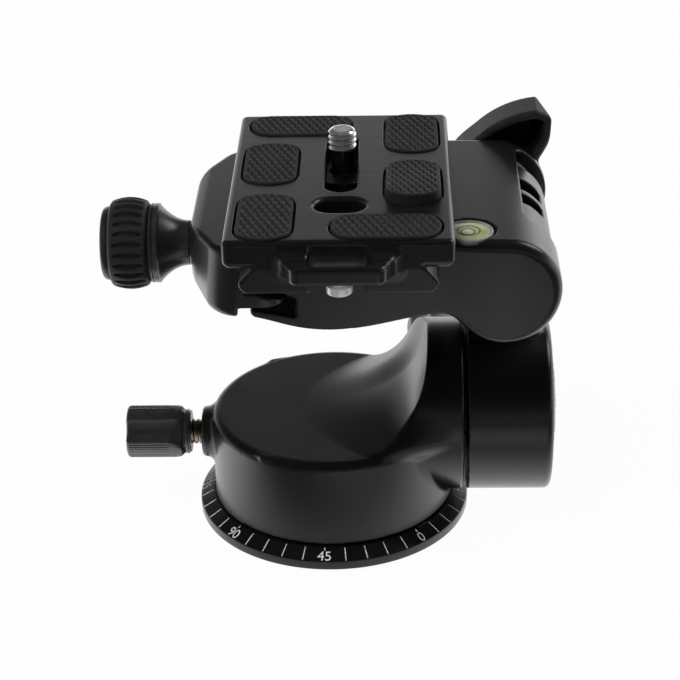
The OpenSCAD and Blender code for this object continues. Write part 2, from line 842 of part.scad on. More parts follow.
module roll_washer_front() {
    roll_washer(slot_y0 + face_gap);
}

module roll_washer_rear() {
    roll_washer(hub_rear + face_gap);
}

module level_vial() {
    color("#c6d07a") rod_z(vial_r, top_z - vial_h + face_gap, top_z, roll_x - vial_x, -vial_y);
}

// Lever: a hub and a wing whose back edge is an arc from the hub's left side to the tip
module wing_outline(inset) {
    along = [cos(lever_angle), sin(lever_angle)];
    across = [sin(lever_angle), -cos(lever_angle)];
    back = (lever_reach - inset) * along - (lever_tip / 2 - inset) * across;
    front = (lever_reach - inset) * along + (lever_tip / 2 - inset) * across;
    hub = lever_hub_r - inset;
    root = hub - lever_wall / 4;
    start = root * [cos(lever_back), sin(lever_back)];
    bulge = (start + back) / 2 + lever_bulge * [-sin(lever_angle / 2), cos(lever_angle / 2)];
    polygon([
        [0, 0], start,
        for (i = [1 : arc_steps - 1]) let (t = i / arc_steps)
            pow(1 - t, 2) * start + 2 * t * (1 - t) * bulge + t * t * back,
        back, front, root * [cos(lever_front), sin(lever_front)],
    ]);
}

module lever_form(inset, y0, y1) {
    rod_y(lever_hub_r - inset, y0, y1, roll_x, roll_z);
    prism_y(y0, y1) translate([roll_x, roll_z]) wing_outline(inset);
}

module roll_lever() {
    color(rubber) difference() {
        lever_form(0, lever_y, lever_end);
        difference() {
            lever_form(lever_wall, lever_y - cut, lever_end - lever_wall);
            rod_y(lever_nut_r + seat + lever_wall, lever_y - cut, lever_end, roll_x, roll_z);
        }
        rod_y(lever_nut_r + seat, lever_y - cut, lever_nut_end, roll_x, roll_z);
        rod_y(roll_bolt_r + run, lever_nut_end - cut, lever_end + cut, roll_x, roll_z);
        rod_y(lever_nut_r, lever_end - lever_screw_h, lever_end + cut, roll_x, roll_z);
    }
}

module lever_nut() {
    color(brass) ring_y(lever_nut_r, roll_bolt_r + run, lever_y, lever_nut_end, roll_x, roll_z);
}

module lever_screw() {
    head_y = lever_end - lever_screw_h;
    color(steel) {
        rod_y(lever_nut_r - 2 * run, head_y, lever_end, roll_x, roll_z);
        rod_y(roll_bolt_r - run, bolt_end + clear, head_y + cut, roll_x, roll_z);
    }
}

// Clamp jaw
module jaw_block() {
    right_x = plate_x;
    translate([0, 0, jaw_z]) linear_extrude(jaw_h) polygon([
        [jaw_x, -jaw_flat], [plate_x - jaw_end, -jaw_half], [right_x, -jaw_half],
        [right_x, jaw_half], [plate_x - jaw_end, jaw_half], [jaw_x, jaw_flat],
    ]);
}

// What the jaw leaves free: the dovetail, the clamp block and the room below the tongue
module jaw_room() {
    flank_x = plate_x - dove_w / 2 - dove_gap;
    lip_x = flank_x + top_z - flank_z;
    tongue_end = left_x + tongue_len;
    far = plate_x + cut;
    prism_y(-jaw_half - cut, jaw_half + cut) polygon([
        [far, jaw_z - cut], [far, top_z + cut], [lip_x + cut, top_z + cut], [flank_x, flank_z],
        [flank_x, floor_z], [jaw_in, floor_z], [jaw_in, tongue_top], [tongue_end, tongue_top],
        [tongue_end, tongue_z], [jaw_in - tongue_t / 2, tongue_z], [jaw_in - tongue_t / 2, jaw_z - cut],
    ]);
}

module clamp_jaw() {
    color(black) difference() {
        jaw_block();
        jaw_room();
        prism_y(-jaw_half - cut, jaw_half + cut) polygon([
            [jaw_x - cut, top_z - 2 * jaw_slope - 2 * cut], [jaw_x + jaw_slope + cut / 2, top_z + cut],
            [jaw_x - cut, top_z + cut],
        ]);
        rod_x(screw_r + clear, jaw_x - cut, left_x + tongue_len + cut, 0, clamp_z);
        box([jaw_in, -screw_r - clear, tongue_z - cut], [plate_x, screw_r + clear, tongue_top + cut]);
        for (side = [-1, 1])
            rod_x(pin_r + seat, jaw_in - pin_grip, jaw_in + cut, side * pin_y, top_z - pin_d);
    }
}

module jaw_pins() {
    color(steel) for (side = [-1, 1])
        rod_x(pin_r, jaw_in - pin_grip + face_gap, left_x + tongue_len, side * pin_y, top_z - pin_d);
}

// Clamp knob, all of it turned about the clamp screw's axis
module clamp_screw() {
    color(steel) rod_x(screw_r, grip_x, left_x + pocket_len + screw_grip, 0, clamp_z);
}

module turned_knob(points) {
    translate([0, 0, clamp_z]) rotate([0, 90, 0]) rotate_extrude() polygon(points);
}

module knob_core() {
    flare_r = shoulder_r - knob_neck_r;
    bore_r = screw_r + seat;
    color(black) turned_knob(concat(
        [[bore_r, knob_x], [knob_neck_r, knob_x], [knob_neck_r, neck_end_x + flare_r]],
        arc(shoulder_r, neck_end_x + flare_r, flare_r, 180, 270),
        [[shoulder_r, grip_x], [core_r, grip_x], [core_r, cap_x], [0, cap_x],
            [0, grip_x - face_gap], [bore_r, grip_x - face_gap]]
    ));
}

module knob_grip() {
    mid_x = grip_x - grip_len / 2;
    bow_r = (pow(grip_len / 2, 2) + pow(grip_crown, 2)) / (2 * grip_crown);
    turn = asin(grip_len / 2 / bow_r);
    color(rubber) turned_knob(concat(
        [[core_r + seat, grip_x]],
        arc(grip_r - bow_r, mid_x, bow_r, turn, -turn),
        [[core_r + seat, cap_x]]
    ));
}

module knob_cap() {
    color(black) turned_knob([
        [0, cap_x], [cap_r, cap_x], [cap_r, cap_x - cap_len + rim_edge],
        [cap_r - rim_edge, cap_x - cap_len], [0, cap_x - cap_len],
    ]);
}

// Plate
module at_plate() {
    translate([plate_x, -plate_y, 0]) children();
}

module plate_section() {
    half = plate_w / 2;
    neck_half = neck_w / 2;
    dove_half = dove_w / 2;
    right = [
        [dove_half - dove_foot, dove_z], [dove_half, flank_z - dove_edge], [dove_half, flank_z],
        [neck_half, slab_z], [half, slab_z], [half, plate_top - plate_bevel],
        [half - plate_bevel, plate_top],
    ];
    left = [for (i = [len(right) - 1 : -1 : 0]) [-right[i][0], right[i][1]]];
    polygon(concat(right, left));
}

module plate_side() {
    half = plate_len / 2;
    polygon([
        [-half, dove_z], [half, dove_z], [half, plate_top - plate_bevel], [half - plate_bevel, plate_top],
        [plate_bevel - half, plate_top], [-half, plate_top - plate_bevel],
    ]);
}

module round_rect(width, depth, r) {
    square([width - 2 * r, depth], center = true);
    square([width, depth - 2 * r], center = true);
    for (x = [-1, 1], y = [-1, 1]) translate([x * (width / 2 - r), y * (depth / 2 - r)]) circle(r = r);
}

module pad_outline(grow) {
    bow_x = pad_len / 2 - pad_bow;
    intersection() {
        square([pad_len + 2 * grow, pad_w + 2 * grow], center = true);
        union() {
            square([2 * bow_x, pad_w + 2 * grow], center = true);
            for (side = [-1, 1]) translate([side * bow_x, 0]) circle(r = pad_bow + grow);
        }
    }
}

module at_pad(spot) {
    translate([spot[0], spot[1], 0]) rotate([0, 0, spot[2]]) children();
}

module strap_loop() {
    front = -plate_len / 2;
    loop_top = plate_top - loop_drop;
    translate([0, 0, loop_top - loop_h]) linear_extrude(loop_h) difference() {
        polygon([
            [-loop_w / 2, front + plate_bevel], [-loop_w / 2, front],
            [-loop_bar_w / 2, front - loop_reach], [loop_bar_w / 2, front - loop_reach],
            [loop_w / 2, front], [loop_w / 2, front + plate_bevel],
        ]);
        translate([-loop_gap / 2, front + loop_bar - loop_reach])
            square([loop_gap, loop_reach - loop_bar]);
    }
}

// A round-ended slot along Y
module slot_y(width, y0, y1, z0, z1) {
    r = width / 2;
    rod_z(r, z0, z1, 0, y0 + r);
    rod_z(r, z0, z1, 0, y1 - r);
    box([-r, y0 + r, z0], [r, y1 - r, z1]);
}

module plate_body() {
    head_out = head_room_r - slot_w / 2;
    color(black) at_plate() difference() {
        union() {
            intersection() {
                prism_y(-plate_len / 2, plate_len / 2) plate_section();
                rotate([90, 0, 90]) translate([0, 0, -plate_w / 2]) linear_extrude(plate_w) plate_side();
                translate([0, 0, dove_z]) linear_extrude(plate_top - dove_z)
                    round_rect(plate_w, plate_len, plate_corner);
            }
            strap_loop();
        }
        slot_y(slot_w, -slot_front, slot_rear, dove_z - cut, plate_top + cut);
        slot_y(2 * head_room_r, -slot_front - head_out, slot_rear + head_out, dove_z - cut, screw_slot_z);
        translate([0, -hole_y, 0]) rotate([0, 0, 90])
            slot_y(hole_w, -hole_len / 2, hole_len / 2, dove_z - cut, plate_top + cut);
        for (spot = pad_spots) at_pad(spot)
            translate([0, 0, plate_top - pad_deep]) linear_extrude(pad_deep + cut) pad_outline(seat);
        for (side = [-1, 1])
            rod_z(stop_shank_r + seat, dove_z - cut, dove_z + stop_shank, 0, side * stop_y);
    }
}

module stop_pins() {
    color(steel) at_plate() for (side = [-1, 1]) {
        rod_z(stop_r, dove_z - face_gap - stop_h, dove_z - face_gap, 0, side * stop_y);
        rod_z(stop_shank_r, dove_z - face_gap - cut, dove_z + stop_shank - face_gap, 0, side * stop_y);
    }
}

module pad(i) {
    high = pad_deep + pad_proud + (i == loose_pad ? pad_loose : 0);
    color(rubber) at_plate() at_pad(pad_spots[i])
        translate([0, 0, plate_top - pad_deep]) linear_extrude(high) pad_outline(0);
}

// Camera screw
module screw_washer() {
    color(steel) translate([plate_x, thread_at, 0])
        ring_z(head_r, thread_r + run, washer_z, washer_z + washer_t);
}

module camera_screw() {
    color("silver") translate([plate_x, thread_at, 0]) difference() {
        rotate_extrude() polygon([
            [0, head_z], [head_r, head_z], [head_r, head_z + head_h], [thread_r, head_z + head_h],
            [thread_r, screw_slot_z], [shank_r, screw_slot_z], [shank_r, plate_top], [thread_r, plate_top],
            [thread_r, thread_top - thread_edge], [thread_r - thread_edge, thread_top], [0, thread_top],
        ]);
        box([-coin_w / 2, -head_r - cut, head_z - cut], [coin_w / 2, head_r + cut, head_z + coin_d]);
    }
}

base_plate();
thread_insert();
friction_ring();
body_casting();
retaining_screws();
pan_lock_bush();
tilt_lock_bush();
tilt_bush();
tilt_axle();
tilt_washer();
tilt_spring_washer();
pan_lock_shoe();
pan_lock_stud();
pan_lock_knob();
tilt_lock_shoe();
tilt_lock_stud();
tilt_lock_knob();
tilt_arm();
tilt_dial();
roll_bush_front();
roll_bush_rear();
platform_casting();
roll_bolt();
roll_washer_front();
roll_washer_rear();
level_vial();
roll_lever();
lever_nut();
lever_screw();
clamp_jaw();
jaw_pins();
clamp_screw();
knob_core();
knob_grip();
knob_cap();
plate_body();
stop_pins();
pad(0);  // pad_front_left
pad(1);  // pad_mid_left
pad(2);  // pad_rear_left
pad(3);  // pad_rear_right
pad(4);  // pad_mid_right
pad(5);  // pad_front_right
screw_washer();
camera_screw();
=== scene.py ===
import math

import bpy
import numpy as np
from mathutils import Matrix, Vector


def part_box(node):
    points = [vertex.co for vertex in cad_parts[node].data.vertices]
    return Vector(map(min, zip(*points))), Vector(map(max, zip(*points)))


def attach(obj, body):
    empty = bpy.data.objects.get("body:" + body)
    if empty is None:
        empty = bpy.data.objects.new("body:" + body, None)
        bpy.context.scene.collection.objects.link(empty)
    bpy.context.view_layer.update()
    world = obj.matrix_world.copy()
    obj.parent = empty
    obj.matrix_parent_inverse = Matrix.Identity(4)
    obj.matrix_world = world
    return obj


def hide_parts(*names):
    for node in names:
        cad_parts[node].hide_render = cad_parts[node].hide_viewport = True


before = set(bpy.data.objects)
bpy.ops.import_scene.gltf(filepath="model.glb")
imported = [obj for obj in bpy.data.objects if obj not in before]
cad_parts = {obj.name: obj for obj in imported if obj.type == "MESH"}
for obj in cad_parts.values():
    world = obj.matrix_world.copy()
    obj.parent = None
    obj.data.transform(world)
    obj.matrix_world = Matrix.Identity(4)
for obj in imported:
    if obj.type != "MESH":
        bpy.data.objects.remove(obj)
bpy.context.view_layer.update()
scene = bpy.context.scene
scene.view_settings.view_transform = "Standard"
mm = 0.001  # every size below is in millimetres
onAxis = 0.01  # turned paths end this near their axis
print("frame loaded")

camera = {"place": (14.457, -414.520, 257.160), "pan": 1.703, "pitch": 27.397, "roll": 1.23,
          "lens": 108.53, "sensor": 36.0}


def addCamera(c):
    pan, pitch, roll = (math.radians(c[key]) for key in ("pan", "pitch", "roll"))
    ahead = Vector((-math.sin(pan) * math.cos(pitch), math.cos(pan) * math.cos(pitch), -math.sin(pitch)))
    right = Vector((math.cos(pan), math.sin(pan), 0))
    down = ahead.cross(right)
    side = math.cos(roll) * right + math.sin(roll) * down
    up = math.sin(roll) * right - math.cos(roll) * down
    lens = bpy.data.cameras.new("photoCamera")
    lens.lens, lens.sensor_width = c["lens"], c["sensor"]
    lens.clip_start, lens.clip_end = 0.01, 20
    eye = bpy.data.objects.new("photoCamera", lens)
    turn = Matrix((side, up, -ahead)).transposed().to_4x4()
    turn.translation = Vector(c["place"]) * mm
    eye.matrix_world = turn
    scene.collection.objects.link(eye)
    scene.camera = eye


addCamera(camera)
print("camera placed")


class Wire:  # a shader socket that takes Python arithmetic
    def __init__(self, tree, socket=None):
        self.tree, self.socket = tree, socket

    def node(self, kind, settings=None, sockets=None, out=0):
        made = self.tree.nodes.new(kind)
        for key, value in (settings or {}).items():
            if key == "stops":
                ramp = made.color_ramp.elements
                ramp.remove(ramp[1])
                ramp[0].position, ramp[0].color = value[0]
                for place, tone in value[1:]:
                    ramp.new(place).color = tone
            else:
                setattr(made, key, value)
        self.fill(made, sockets or {})
        return Wire(self.tree, made.outputs[out])

    def fill(self, made, sockets):
        for key, value in sockets.items():
            if isinstance(value, Wire):
                self.tree.links.new(value.socket, made.inputs[key])
            else:
                made.inputs[key].default_value = value

    def maths(self, operation, a, b=0.0):
        return self.node("ShaderNodeMath", {"operation": operation}, {0: a, 1: b})

    def __add__(self, other): return self.maths("ADD", self, other)
    def __radd__(self, other): return self.maths("ADD", other, self)
    def __sub__(self, other): return self.maths("SUBTRACT", self, other)
    def __rsub__(self, other): return self.maths("SUBTRACT", other, self)
    def __mul__(self, other): return self.maths("MULTIPLY", self, other)
    def __rmul__(self, other): return self.maths("MULTIPLY", other, self)

    def blend(self, low, high):  # this value mixes two colours
        return self.node("ShaderNodeMix", {"data_type": "RGBA"}, {0: self, 6: low, 7: high}, 2)

    def ramp(self, low, high):  # 0 below low, 1 above high
        return self.node("ShaderNodeMapRange", {"interpolation_type": "SMOOTHSTEP"},
                         {"Value": self, "From Min": low, "From Max": high})


def grey(level, warm=0.0):
    return (level * (1 + warm), level, level * (1 - warm), 1)


class Finish:  # a material, its shader and the textures that finishes share
    def __init__(self, name):
        self.material = bpy.data.materials.new(name)
        self.material.use_nodes = True
        self.wire = Wire(self.material.node_tree)
        self.shader = self.material.node_tree.nodes["Principled BSDF"]
        self.place = self.wire.node("ShaderNodeTexCoord", out="Object")

    def noise(self, size, stretch=(1, 1, 1), detail=3.0, rough=0.6):  # size is one grain, in mm
        spots = self.wire.node("ShaderNodeMapping", None, {"Vector": self.place, "Scale": stretch})
        return self.wire.node("ShaderNodeTexNoise", None,
                              {"Vector": spots, "Scale": 1 / (size * mm), "Detail": detail, "Roughness": rough})

    def edge(self, low, high):  # 1 on outer edges
        return self.wire.node("ShaderNodeNewGeometry", out="Pointiness").ramp(low, high)

    def bump(self, height, depth, under=None):  # depth in mm
        sockets = {"Height": height, "Distance": depth * mm}
        if under:
            sockets["Normal"] = under
        return self.wire.node("ShaderNodeBump", None, sockets)

    def set(self, **sockets):
        names = {"color": "Base Color", "rough": "Roughness", "metal": "Metallic", "normal": "Normal",
                 "level": "Specular IOR Level", "coat": "Coat Weight", "coatRough": "Coat Roughness"}
        self.wire.fill(self.shader, {names[key]: value for key, value in sockets.items()})
        return self.material


# the last three keys set a painted highlight on sharp outer edges: its strength, its grey and the pointiness where it
# starts
paint = {"tone": 0.006, "shine": 0.30, "level": 0.60, "highlight": 0.6, "highlightTone": 0.13, "edge": (0.56, 0.63)}


def satinPaint(name, streaks=None, topOnly=False):
    f = Finish(name)
    cloud, grain = f.noise(9.0), f.noise(0.22, detail=2)
    tone = f.noise(0.5).ramp(0.3, 0.7).blend(grey(paint["tone"] * 0.85), grey(paint["tone"] * 1.15))
    rough = paint["shine"] + 0.10 * (cloud - 0.5) + 0.06 * (grain - 0.5)
    normal = f.bump(grain, 0.006)
    if streaks:  # machined faces, with fine lines along one axis
        lines = f.noise(0.30, streaks, detail=4, rough=0.7)
        if topOnly:
            facing = f.wire.node("ShaderNodeNewGeometry", out="Normal")
            upward = f.wire.node("ShaderNodeSeparateXYZ", None, {0: facing}, 2).ramp(0.90, 0.99)
            lines = 0.5 + upward * (lines - 0.5)
        tone = lines.ramp(0.3, 0.7).blend(grey(paint["tone"] * 0.8), grey(paint["tone"] * 1.7))
        rough = rough + 0.16 * (lines - 0.5)
        normal = f.bump(lines, 0.008, under=normal)
    # painted highlight: in patches along sharp outer edges the paint turns towards a light grey, standing in for the
    # light that the edges' small roundings catch
    edgeHighlight = f.edge(*paint["edge"]) * f.noise(1.6).ramp(0.25, 0.60)
    tone = (paint["highlight"] * edgeHighlight).blend(tone, grey(paint["highlightTone"]))
    return f.set(color=tone, rough=rough, normal=normal, level=paint["level"])


def mouldedPlastic(name, tone, shine, grainSize=0.18, depth=0.010, warm=0.0, level=0.3):
    f = Finish(name)
    grain, cloud = f.noise(grainSize, detail=2), f.noise(6.0)
    color = cloud.ramp(0.3, 0.7).blend(grey(tone * 0.85, warm), grey(tone * 1.2, warm))
    rough = shine + 0.12 * (grain - 0.5) + 0.08 * (cloud - 0.5)
    return f.set(color=color, rough=rough, normal=f.bump(grain, depth), level=level)


def turnedSteel(name, tone, shine, streaks, warm=0.0, shadeBelow=None, metal=1.0):
    f = Finish(name)
    lines, cloud = f.noise(0.15, streaks, detail=3), f.noise(2.5)
    color = cloud.ramp(0.3, 0.7).blend(grey(tone * 0.86, warm), grey(tone, warm))
    rough = shine + 0.15 * (lines - 0.5) + 0.06 * (cloud - 0.5)
    if shadeBelow:  # painted shade: below this height the shank, down in the plate's slot, is painted near black
        height = f.wire.node("ShaderNodeSeparateXYZ", None, {0: f.place}, 2)
        color = height.ramp((shadeBelow - 0.4) * mm, shadeBelow * mm).blend(grey(0.05), color)
    return f.set(color=color, rough=rough, metal=metal, normal=f.bump(lines, 0.004))


def spirit(name, deep, shallow):  # the level's dyed fluid under its clear cover
    f = Finish(name)
    cloud, fine = f.noise(3.0), f.noise(0.4, detail=2)
    return f.set(color=cloud.ramp(0.3, 0.7).blend(deep, shallow), rough=0.22 + 0.10 * (cloud - 0.5),
                 normal=f.bump(fine, 0.002), level=0.5, coat=0.6, coatRough=0.08)


finishes = {
    "casting": satinPaint("blackCasting"),
    "faced": satinPaint("blackFaced", (0.02, 1, 1), True),
    "machined": satinPaint("blackMachined", (0.02, 1, 1)),
    "knob": mouldedPlastic("knobPlastic", 0.022, 0.34, level=1.0),
    "lever": mouldedPlastic("leverPlastic", 0.020, 0.50, 0.25, 0.014),
    "grip": mouldedPlastic("gripRubber", 0.022, 0.55, 0.12, 0.010),
    "cap": mouldedPlastic("capPlastic", 0.020, 0.34, warm=0.18),
    "pad": mouldedPlastic("padRubber", 0.022, 0.62, 0.10, 0.012, level=0.25),
    "dial": mouldedPlastic("dialPlastic", 0.42, 0.35, 0.3, 0.006),
    "vialRim": mouldedPlastic("vialRim", 0.34, 0.40, 0.3, 0.004, warm=0.03),
    "vialFluid": spirit("vialFluid", (0.40, 0.44, 0.17, 1), (0.54, 0.57, 0.31, 1)),
    "vialBubble": spirit("vialBubble", (0.62, 0.63, 0.42, 1), (0.74, 0.75, 0.56, 1)),
    "ring": mouldedPlastic("slideRing", 0.62, 0.45, warm=0.03),
    "mark": mouldedPlastic("markPaint", 0.82, 0.55, warm=0.02),
    # dark lines: printed marks, and the painted shade round the level's bubble
    "ink": mouldedPlastic("inkAndShadeLines", 0.012, 0.5),
    # the camera screw's shank below its thread gets painted shade
    "chrome": turnedSteel("chromeSteel", 0.92, 0.14, (1, 1, 0.2), shadeBelow=84.6, metal=0.85),
    "pin": turnedSteel("pinSteel", 0.95, 0.36, (1, 1, 0.1), 0.015, metal=0.4),
    "stud": turnedSteel("studSteel", 0.52, 0.30, (0.2, 1, 1), 0.10),
    "blackSteel": turnedSteel("blackSteel", 0.14, 0.34, (1, 0.2, 1)),
    "steel": turnedSteel("steel", 0.55, 0.34, (0.3, 0.3, 1)),
    "brass": turnedSteel("brass", 0.55, 0.30, (1, 0.2, 1), 0.28),
}
print("finishes made:", len(finishes))


# Fields: distance to a surface in millimetres, below zero inside
def meet(a, b, r=0.0):
    if np.isscalar(r) and not r:
        return np.maximum(a, b)
    return np.minimum(-r, np.maximum(a, b)) + np.hypot(np.maximum(r + a, 0), np.maximum(r + b, 0))


def join(a, b, r=0.0):
    if np.isscalar(r) and not r:
        return np.minimum(a, b)
    return np.maximum(r, np.minimum(a, b)) - np.hypot(np.maximum(r - a, 0), np.maximum(r - b, 0))


def cut(a, b, r=0.0):
    return meet(a, -b, r)


def rod(u, v, r):
    return np.hypot(u, v) - r


def span(t, low, high):
    return np.abs(t - (low + high) / 2) - (high - low) / 2


def capsule(u, v, low, high, r):  # round-ended slot along u
    return np.hypot(u - np.clip(u, low, high), v) - r


def soften(t, low, high):
    s = np.clip((t - low) / (high - low), 0, 1)
    return s * s * (3 - 2 * s)


def outline(u, v, corners, r=0.0):  # polygon, anticlockwise, its outer corners rounded by r
    loop = np.array(corners, float)
    if r:
        ahead = np.roll(loop, -1, 0) - loop
        ahead /= np.linalg.norm(ahead, axis=1)[:, None]
        before = np.roll(ahead, 1, 0)
        inward = np.stack([-ahead[:, 1] - before[:, 1], ahead[:, 0] + before[:, 0]], 1)
        loop = loop + inward * (r / (1 + (ahead * before).sum(1)))[:, None]
    best, sign = np.full(np.shape(u), np.inf), np.ones(np.shape(u))
    for (ax, ay), (bx, by) in zip(loop, np.roll(loop, -1, 0)):
        ex, ey, wx, wy = bx - ax, by - ay, u - ax, v - ay
        t = np.clip((wx * ex + wy * ey) / (ex * ex + ey * ey), 0, 1)
        best = np.minimum(best, (wx - t * ex) ** 2 + (wy - t * ey) ** 2)
        left = ex * wy > ey * wx
        crossed = np.where((v >= ay) & (v < by), left, (v < ay) & (v >= by) & ~left)
        sign = np.where(crossed, -sign, sign)
    return sign * np.sqrt(best) - r


def castSkin(field, low, high, step, rounds=5):  # quads on the field's zero surface, and their normals
    block = 6
    count = [int(math.ceil((b - a) / step)) + 2 for a, b in zip(low, high)]
    axes = [a + step * np.arange(n) for a, n in zip(low, count)]
    middles = [a + step * (block * np.arange(math.ceil(n / block)) + (block - 1) / 2) for a, n in zip(low, count)]
    rough = field(*np.meshgrid(*middles, indexing="ij"))
    for axis in range(3):
        rough = rough.repeat(block, axis)
    values = rough[:count[0], :count[1], :count[2]].copy()
    near = np.abs(values) < 1.3 * block * step
    values[near] = field(*(g[near] for g in np.meshgrid(*axes, indexing="ij")))
    inside = values < 0
    size = np.array(values.shape) - 1
    tally = sum(inside[i:i + size[0], j:j + size[1], k:k + size[2]].astype(np.int8)
                for i in (0, 1) for j in (0, 1) for k in (0, 1))
    live = (tally > 0) & (tally < 8)
    index = np.full(live.shape, -1)
    index[live] = np.arange(live.sum())
    cell = np.argwhere(live)
    total, hits, units = np.zeros(cell.shape), np.zeros(len(cell)), np.eye(3, dtype=int)
    for axis in range(3):
        for u in (0, 1):
            for v in (0, 1):
                start = np.insert([u, v], axis, 0)
                a, b = values[tuple((cell + start).T)], values[tuple((cell + start + units[axis]).T)]
                crossed = (a < 0) != (b < 0)
                part = a[crossed] / (a[crossed] - b[crossed])
                total[crossed] += start + part[:, None] * units[axis]
                hits[crossed] += 1
    points = np.array(low) + step * (cell + total / hits[:, None])
    quads = []
    for axis in range(3):
        b, c = (axis + 1) % 3, (axis + 2) % 3
        head, tail = [slice(1, -1)] * 3, [slice(1, -1)] * 3
        head[axis], tail[axis] = slice(None, -1), slice(1, None)
        first, last = inside[tuple(head)], inside[tuple(tail)]
        for crossing, way in ((first & ~last, 1), (~first & last, -1)):
            at = np.argwhere(crossing)
            at[:, b] += 1
            at[:, c] += 1
            ring = []
            for du, dv in ((1, 1), (0, 1), (0, 0), (1, 0)):
                spot = at.copy()
                spot[:, b] -= du
                spot[:, c] -= dv
                ring.append(index[tuple(spot.T)])
            quads.append(np.stack(ring[::way], 1))
    quads = np.concatenate(quads)

    def slope(p, h):
        return np.stack([(field(*(p + h * d).T) - field(*(p - h * d).T)) / (2 * h) for d in units], 1)

    edges = np.concatenate([quads[:, [i, (i + 1) % 4]] for i in range(4)])
    friends = np.maximum(np.bincount(edges[:, 0], minlength=len(points)), 1)
    for turn in range(rounds):
        lean = slope(points, 0.02)
        length = np.maximum(np.linalg.norm(lean, axis=1), 0.2)
        unit = lean / length[:, None]
        mean = np.stack([np.bincount(edges[:, 0], points[edges[:, 1], axis], len(points)) for axis in range(3)], 1)
        move = mean / friends[:, None] - points
        move -= (move * unit).sum(1)[:, None] * unit
        points = points + 0.5 * move
        miss = np.clip(field(*points.T) / length, -step / 2, step / 2)
        points = points - miss[:, None] * unit
    lean = slope(points, 0.05)
    return points, quads, lean / np.maximum(np.linalg.norm(lean, axis=1), 1e-6)[:, None]


def addPiece(name, points, faces, body, slot, finish, replaced=(), normals=None, sharp=35):
    mesh = bpy.data.meshes.new(name)
    mesh.from_pydata((np.asarray(points, float) * mm).tolist(), [], [list(map(int, f)) for f in faces])
    mesh.update()
    mesh.polygons.foreach_set("use_smooth", np.ones(len(mesh.polygons), bool))
    if normals is not None:
        mesh.normals_split_custom_set_from_vertices(normals.tolist())
    elif sharp:
        mesh.set_sharp_from_angle(angle=math.radians(sharp))
    mesh.materials.append(finishes[finish])
    piece = bpy.data.objects.new(name, mesh)
    scene.collection.objects.link(piece)
    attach(piece, body)
    if replaced:
        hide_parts(*replaced)
    print(name, len(mesh.polygons), "faces")


def addCasting(name, field, low, high, step, body, slot, finish, replaced):
    points, quads, normals = castSkin(field, low, high, step)
    addPiece(name, points, quads, body, slot, finish, replaced, normals)


def roundPath(path, steps=5):  # path of (radius, height, corner radius)
    out = []
    for i, (r, h, bend) in enumerate(path):
        here = np.array((r, h), float)
        if not bend:
            out.append(here)
            continue
        a, b = (np.array(path[(i + d) % len(path)][:2], float) - here for d in (-1, 1))
        a, b = a / np.linalg.norm(a), b / np.linalg.norm(b)
        half = math.acos(np.clip(a @ b, -1, 1)) / 2
        middle = here + (a + b) / np.linalg.norm(a + b) * bend / math.sin(half)
        first, last = here + a * bend / math.tan(half) - middle, here + b * bend / math.tan(half) - middle
        sweep = math.pi - 2 * half
        for k in range(steps + 1):
            t = k / steps
            out.append(middle + (math.sin((1 - t) * sweep) * first + math.sin(t * sweep) * last) / math.sin(sweep))
    return out


def turned(path, axis, place, sides=96, relief=None):  # a closed path of (radius, height) turned about an axis
    path = np.array(path)
    turns = np.linspace(0, 2 * math.pi, sides, endpoint=False)
    radius = np.repeat(path[:, :1], sides, 1)
    if relief:
        radius = radius + relief(turns[None, :], path[:, 1:2], radius)
    a, b, h = radius * np.cos(turns), radius * np.sin(turns), np.repeat(path[:, 1:], sides, 1)
    order = {"x": (h, a, b), "y": (b, h, a), "z": (a, b, h)}[axis]
    points = np.stack(order, -1).reshape(-1, 3) + np.array(place)
    rows = len(path)
    faces = [(i * sides + k, i * sides + (k + 1) % sides, (i + 1) % rows * sides + (k + 1) % sides,
              (i + 1) % rows * sides + k) for i in range(rows) for k in range(sides)]
    area = (path[:, 0] * np.roll(path[:, 1], -1) - np.roll(path[:, 0], -1) * path[:, 1]).sum()
    return points, [f[::-1] for f in faces] if area < 0 else faces


base = {"rim": 31.4, "rimTop": 2.8, "scaleIn": 28.2, "scaleTop": 4.5, "edge": 0.45, "socket": 6.9825,
        "socketTop": 10.0, "spigot": 13.0, "spigotTop": 23.2, "groove": 11.6, "grooveLow": 15.3, "grooveHigh": 21.9,
        "ringOut": 25.02, "ringIn": 16.98, "ringLow": 3.6, "footIn": 1.6, "footOut": 1.2, "foot": 0.5}


def addBase(b):
    path = roundPath([
        (b["socket"], 0, 0), (b["rim"] - b["footIn"], 0, 0.3), (b["rim"] - b["footOut"], b["foot"], 0.2),
        (b["rim"], b["foot"], b["edge"]), (b["rim"], b["rimTop"], b["edge"]), (b["scaleIn"], b["scaleTop"], 0.3),
        (b["ringOut"], b["scaleTop"], 0), (b["ringOut"], b["ringLow"], 0), (b["ringIn"], b["ringLow"], 0),
        (b["ringIn"], b["scaleTop"], 0),
        (b["spigot"], b["scaleTop"], 0), (b["spigot"], b["grooveLow"], 0), (b["groove"], b["grooveLow"], 0),
        (b["groove"], b["grooveHigh"], 0), (b["spigot"], b["grooveHigh"], 0), (b["spigot"], b["spigotTop"], 0.6),
        (onAxis, b["spigotTop"], 0), (onAxis, b["socketTop"], 0), (b["socket"], b["socketTop"], 0)])
    points, faces = turned(path, "z", (0, 0, 0), 192)
    addPiece("baseDisc", points, faces, "base", "black_metal", "casting", ["base_plate"])


addBase(base)

scale = {"zero": -47.8, "number": 45, "tick": 9, "lift": 0.04, "line": 0.24, "longIn": 0.05, "longOut": 0.98,
         "shortIn": 0.02, "shortOut": 0.24, "digitTop": 0.30, "digitHigh": 2.35}


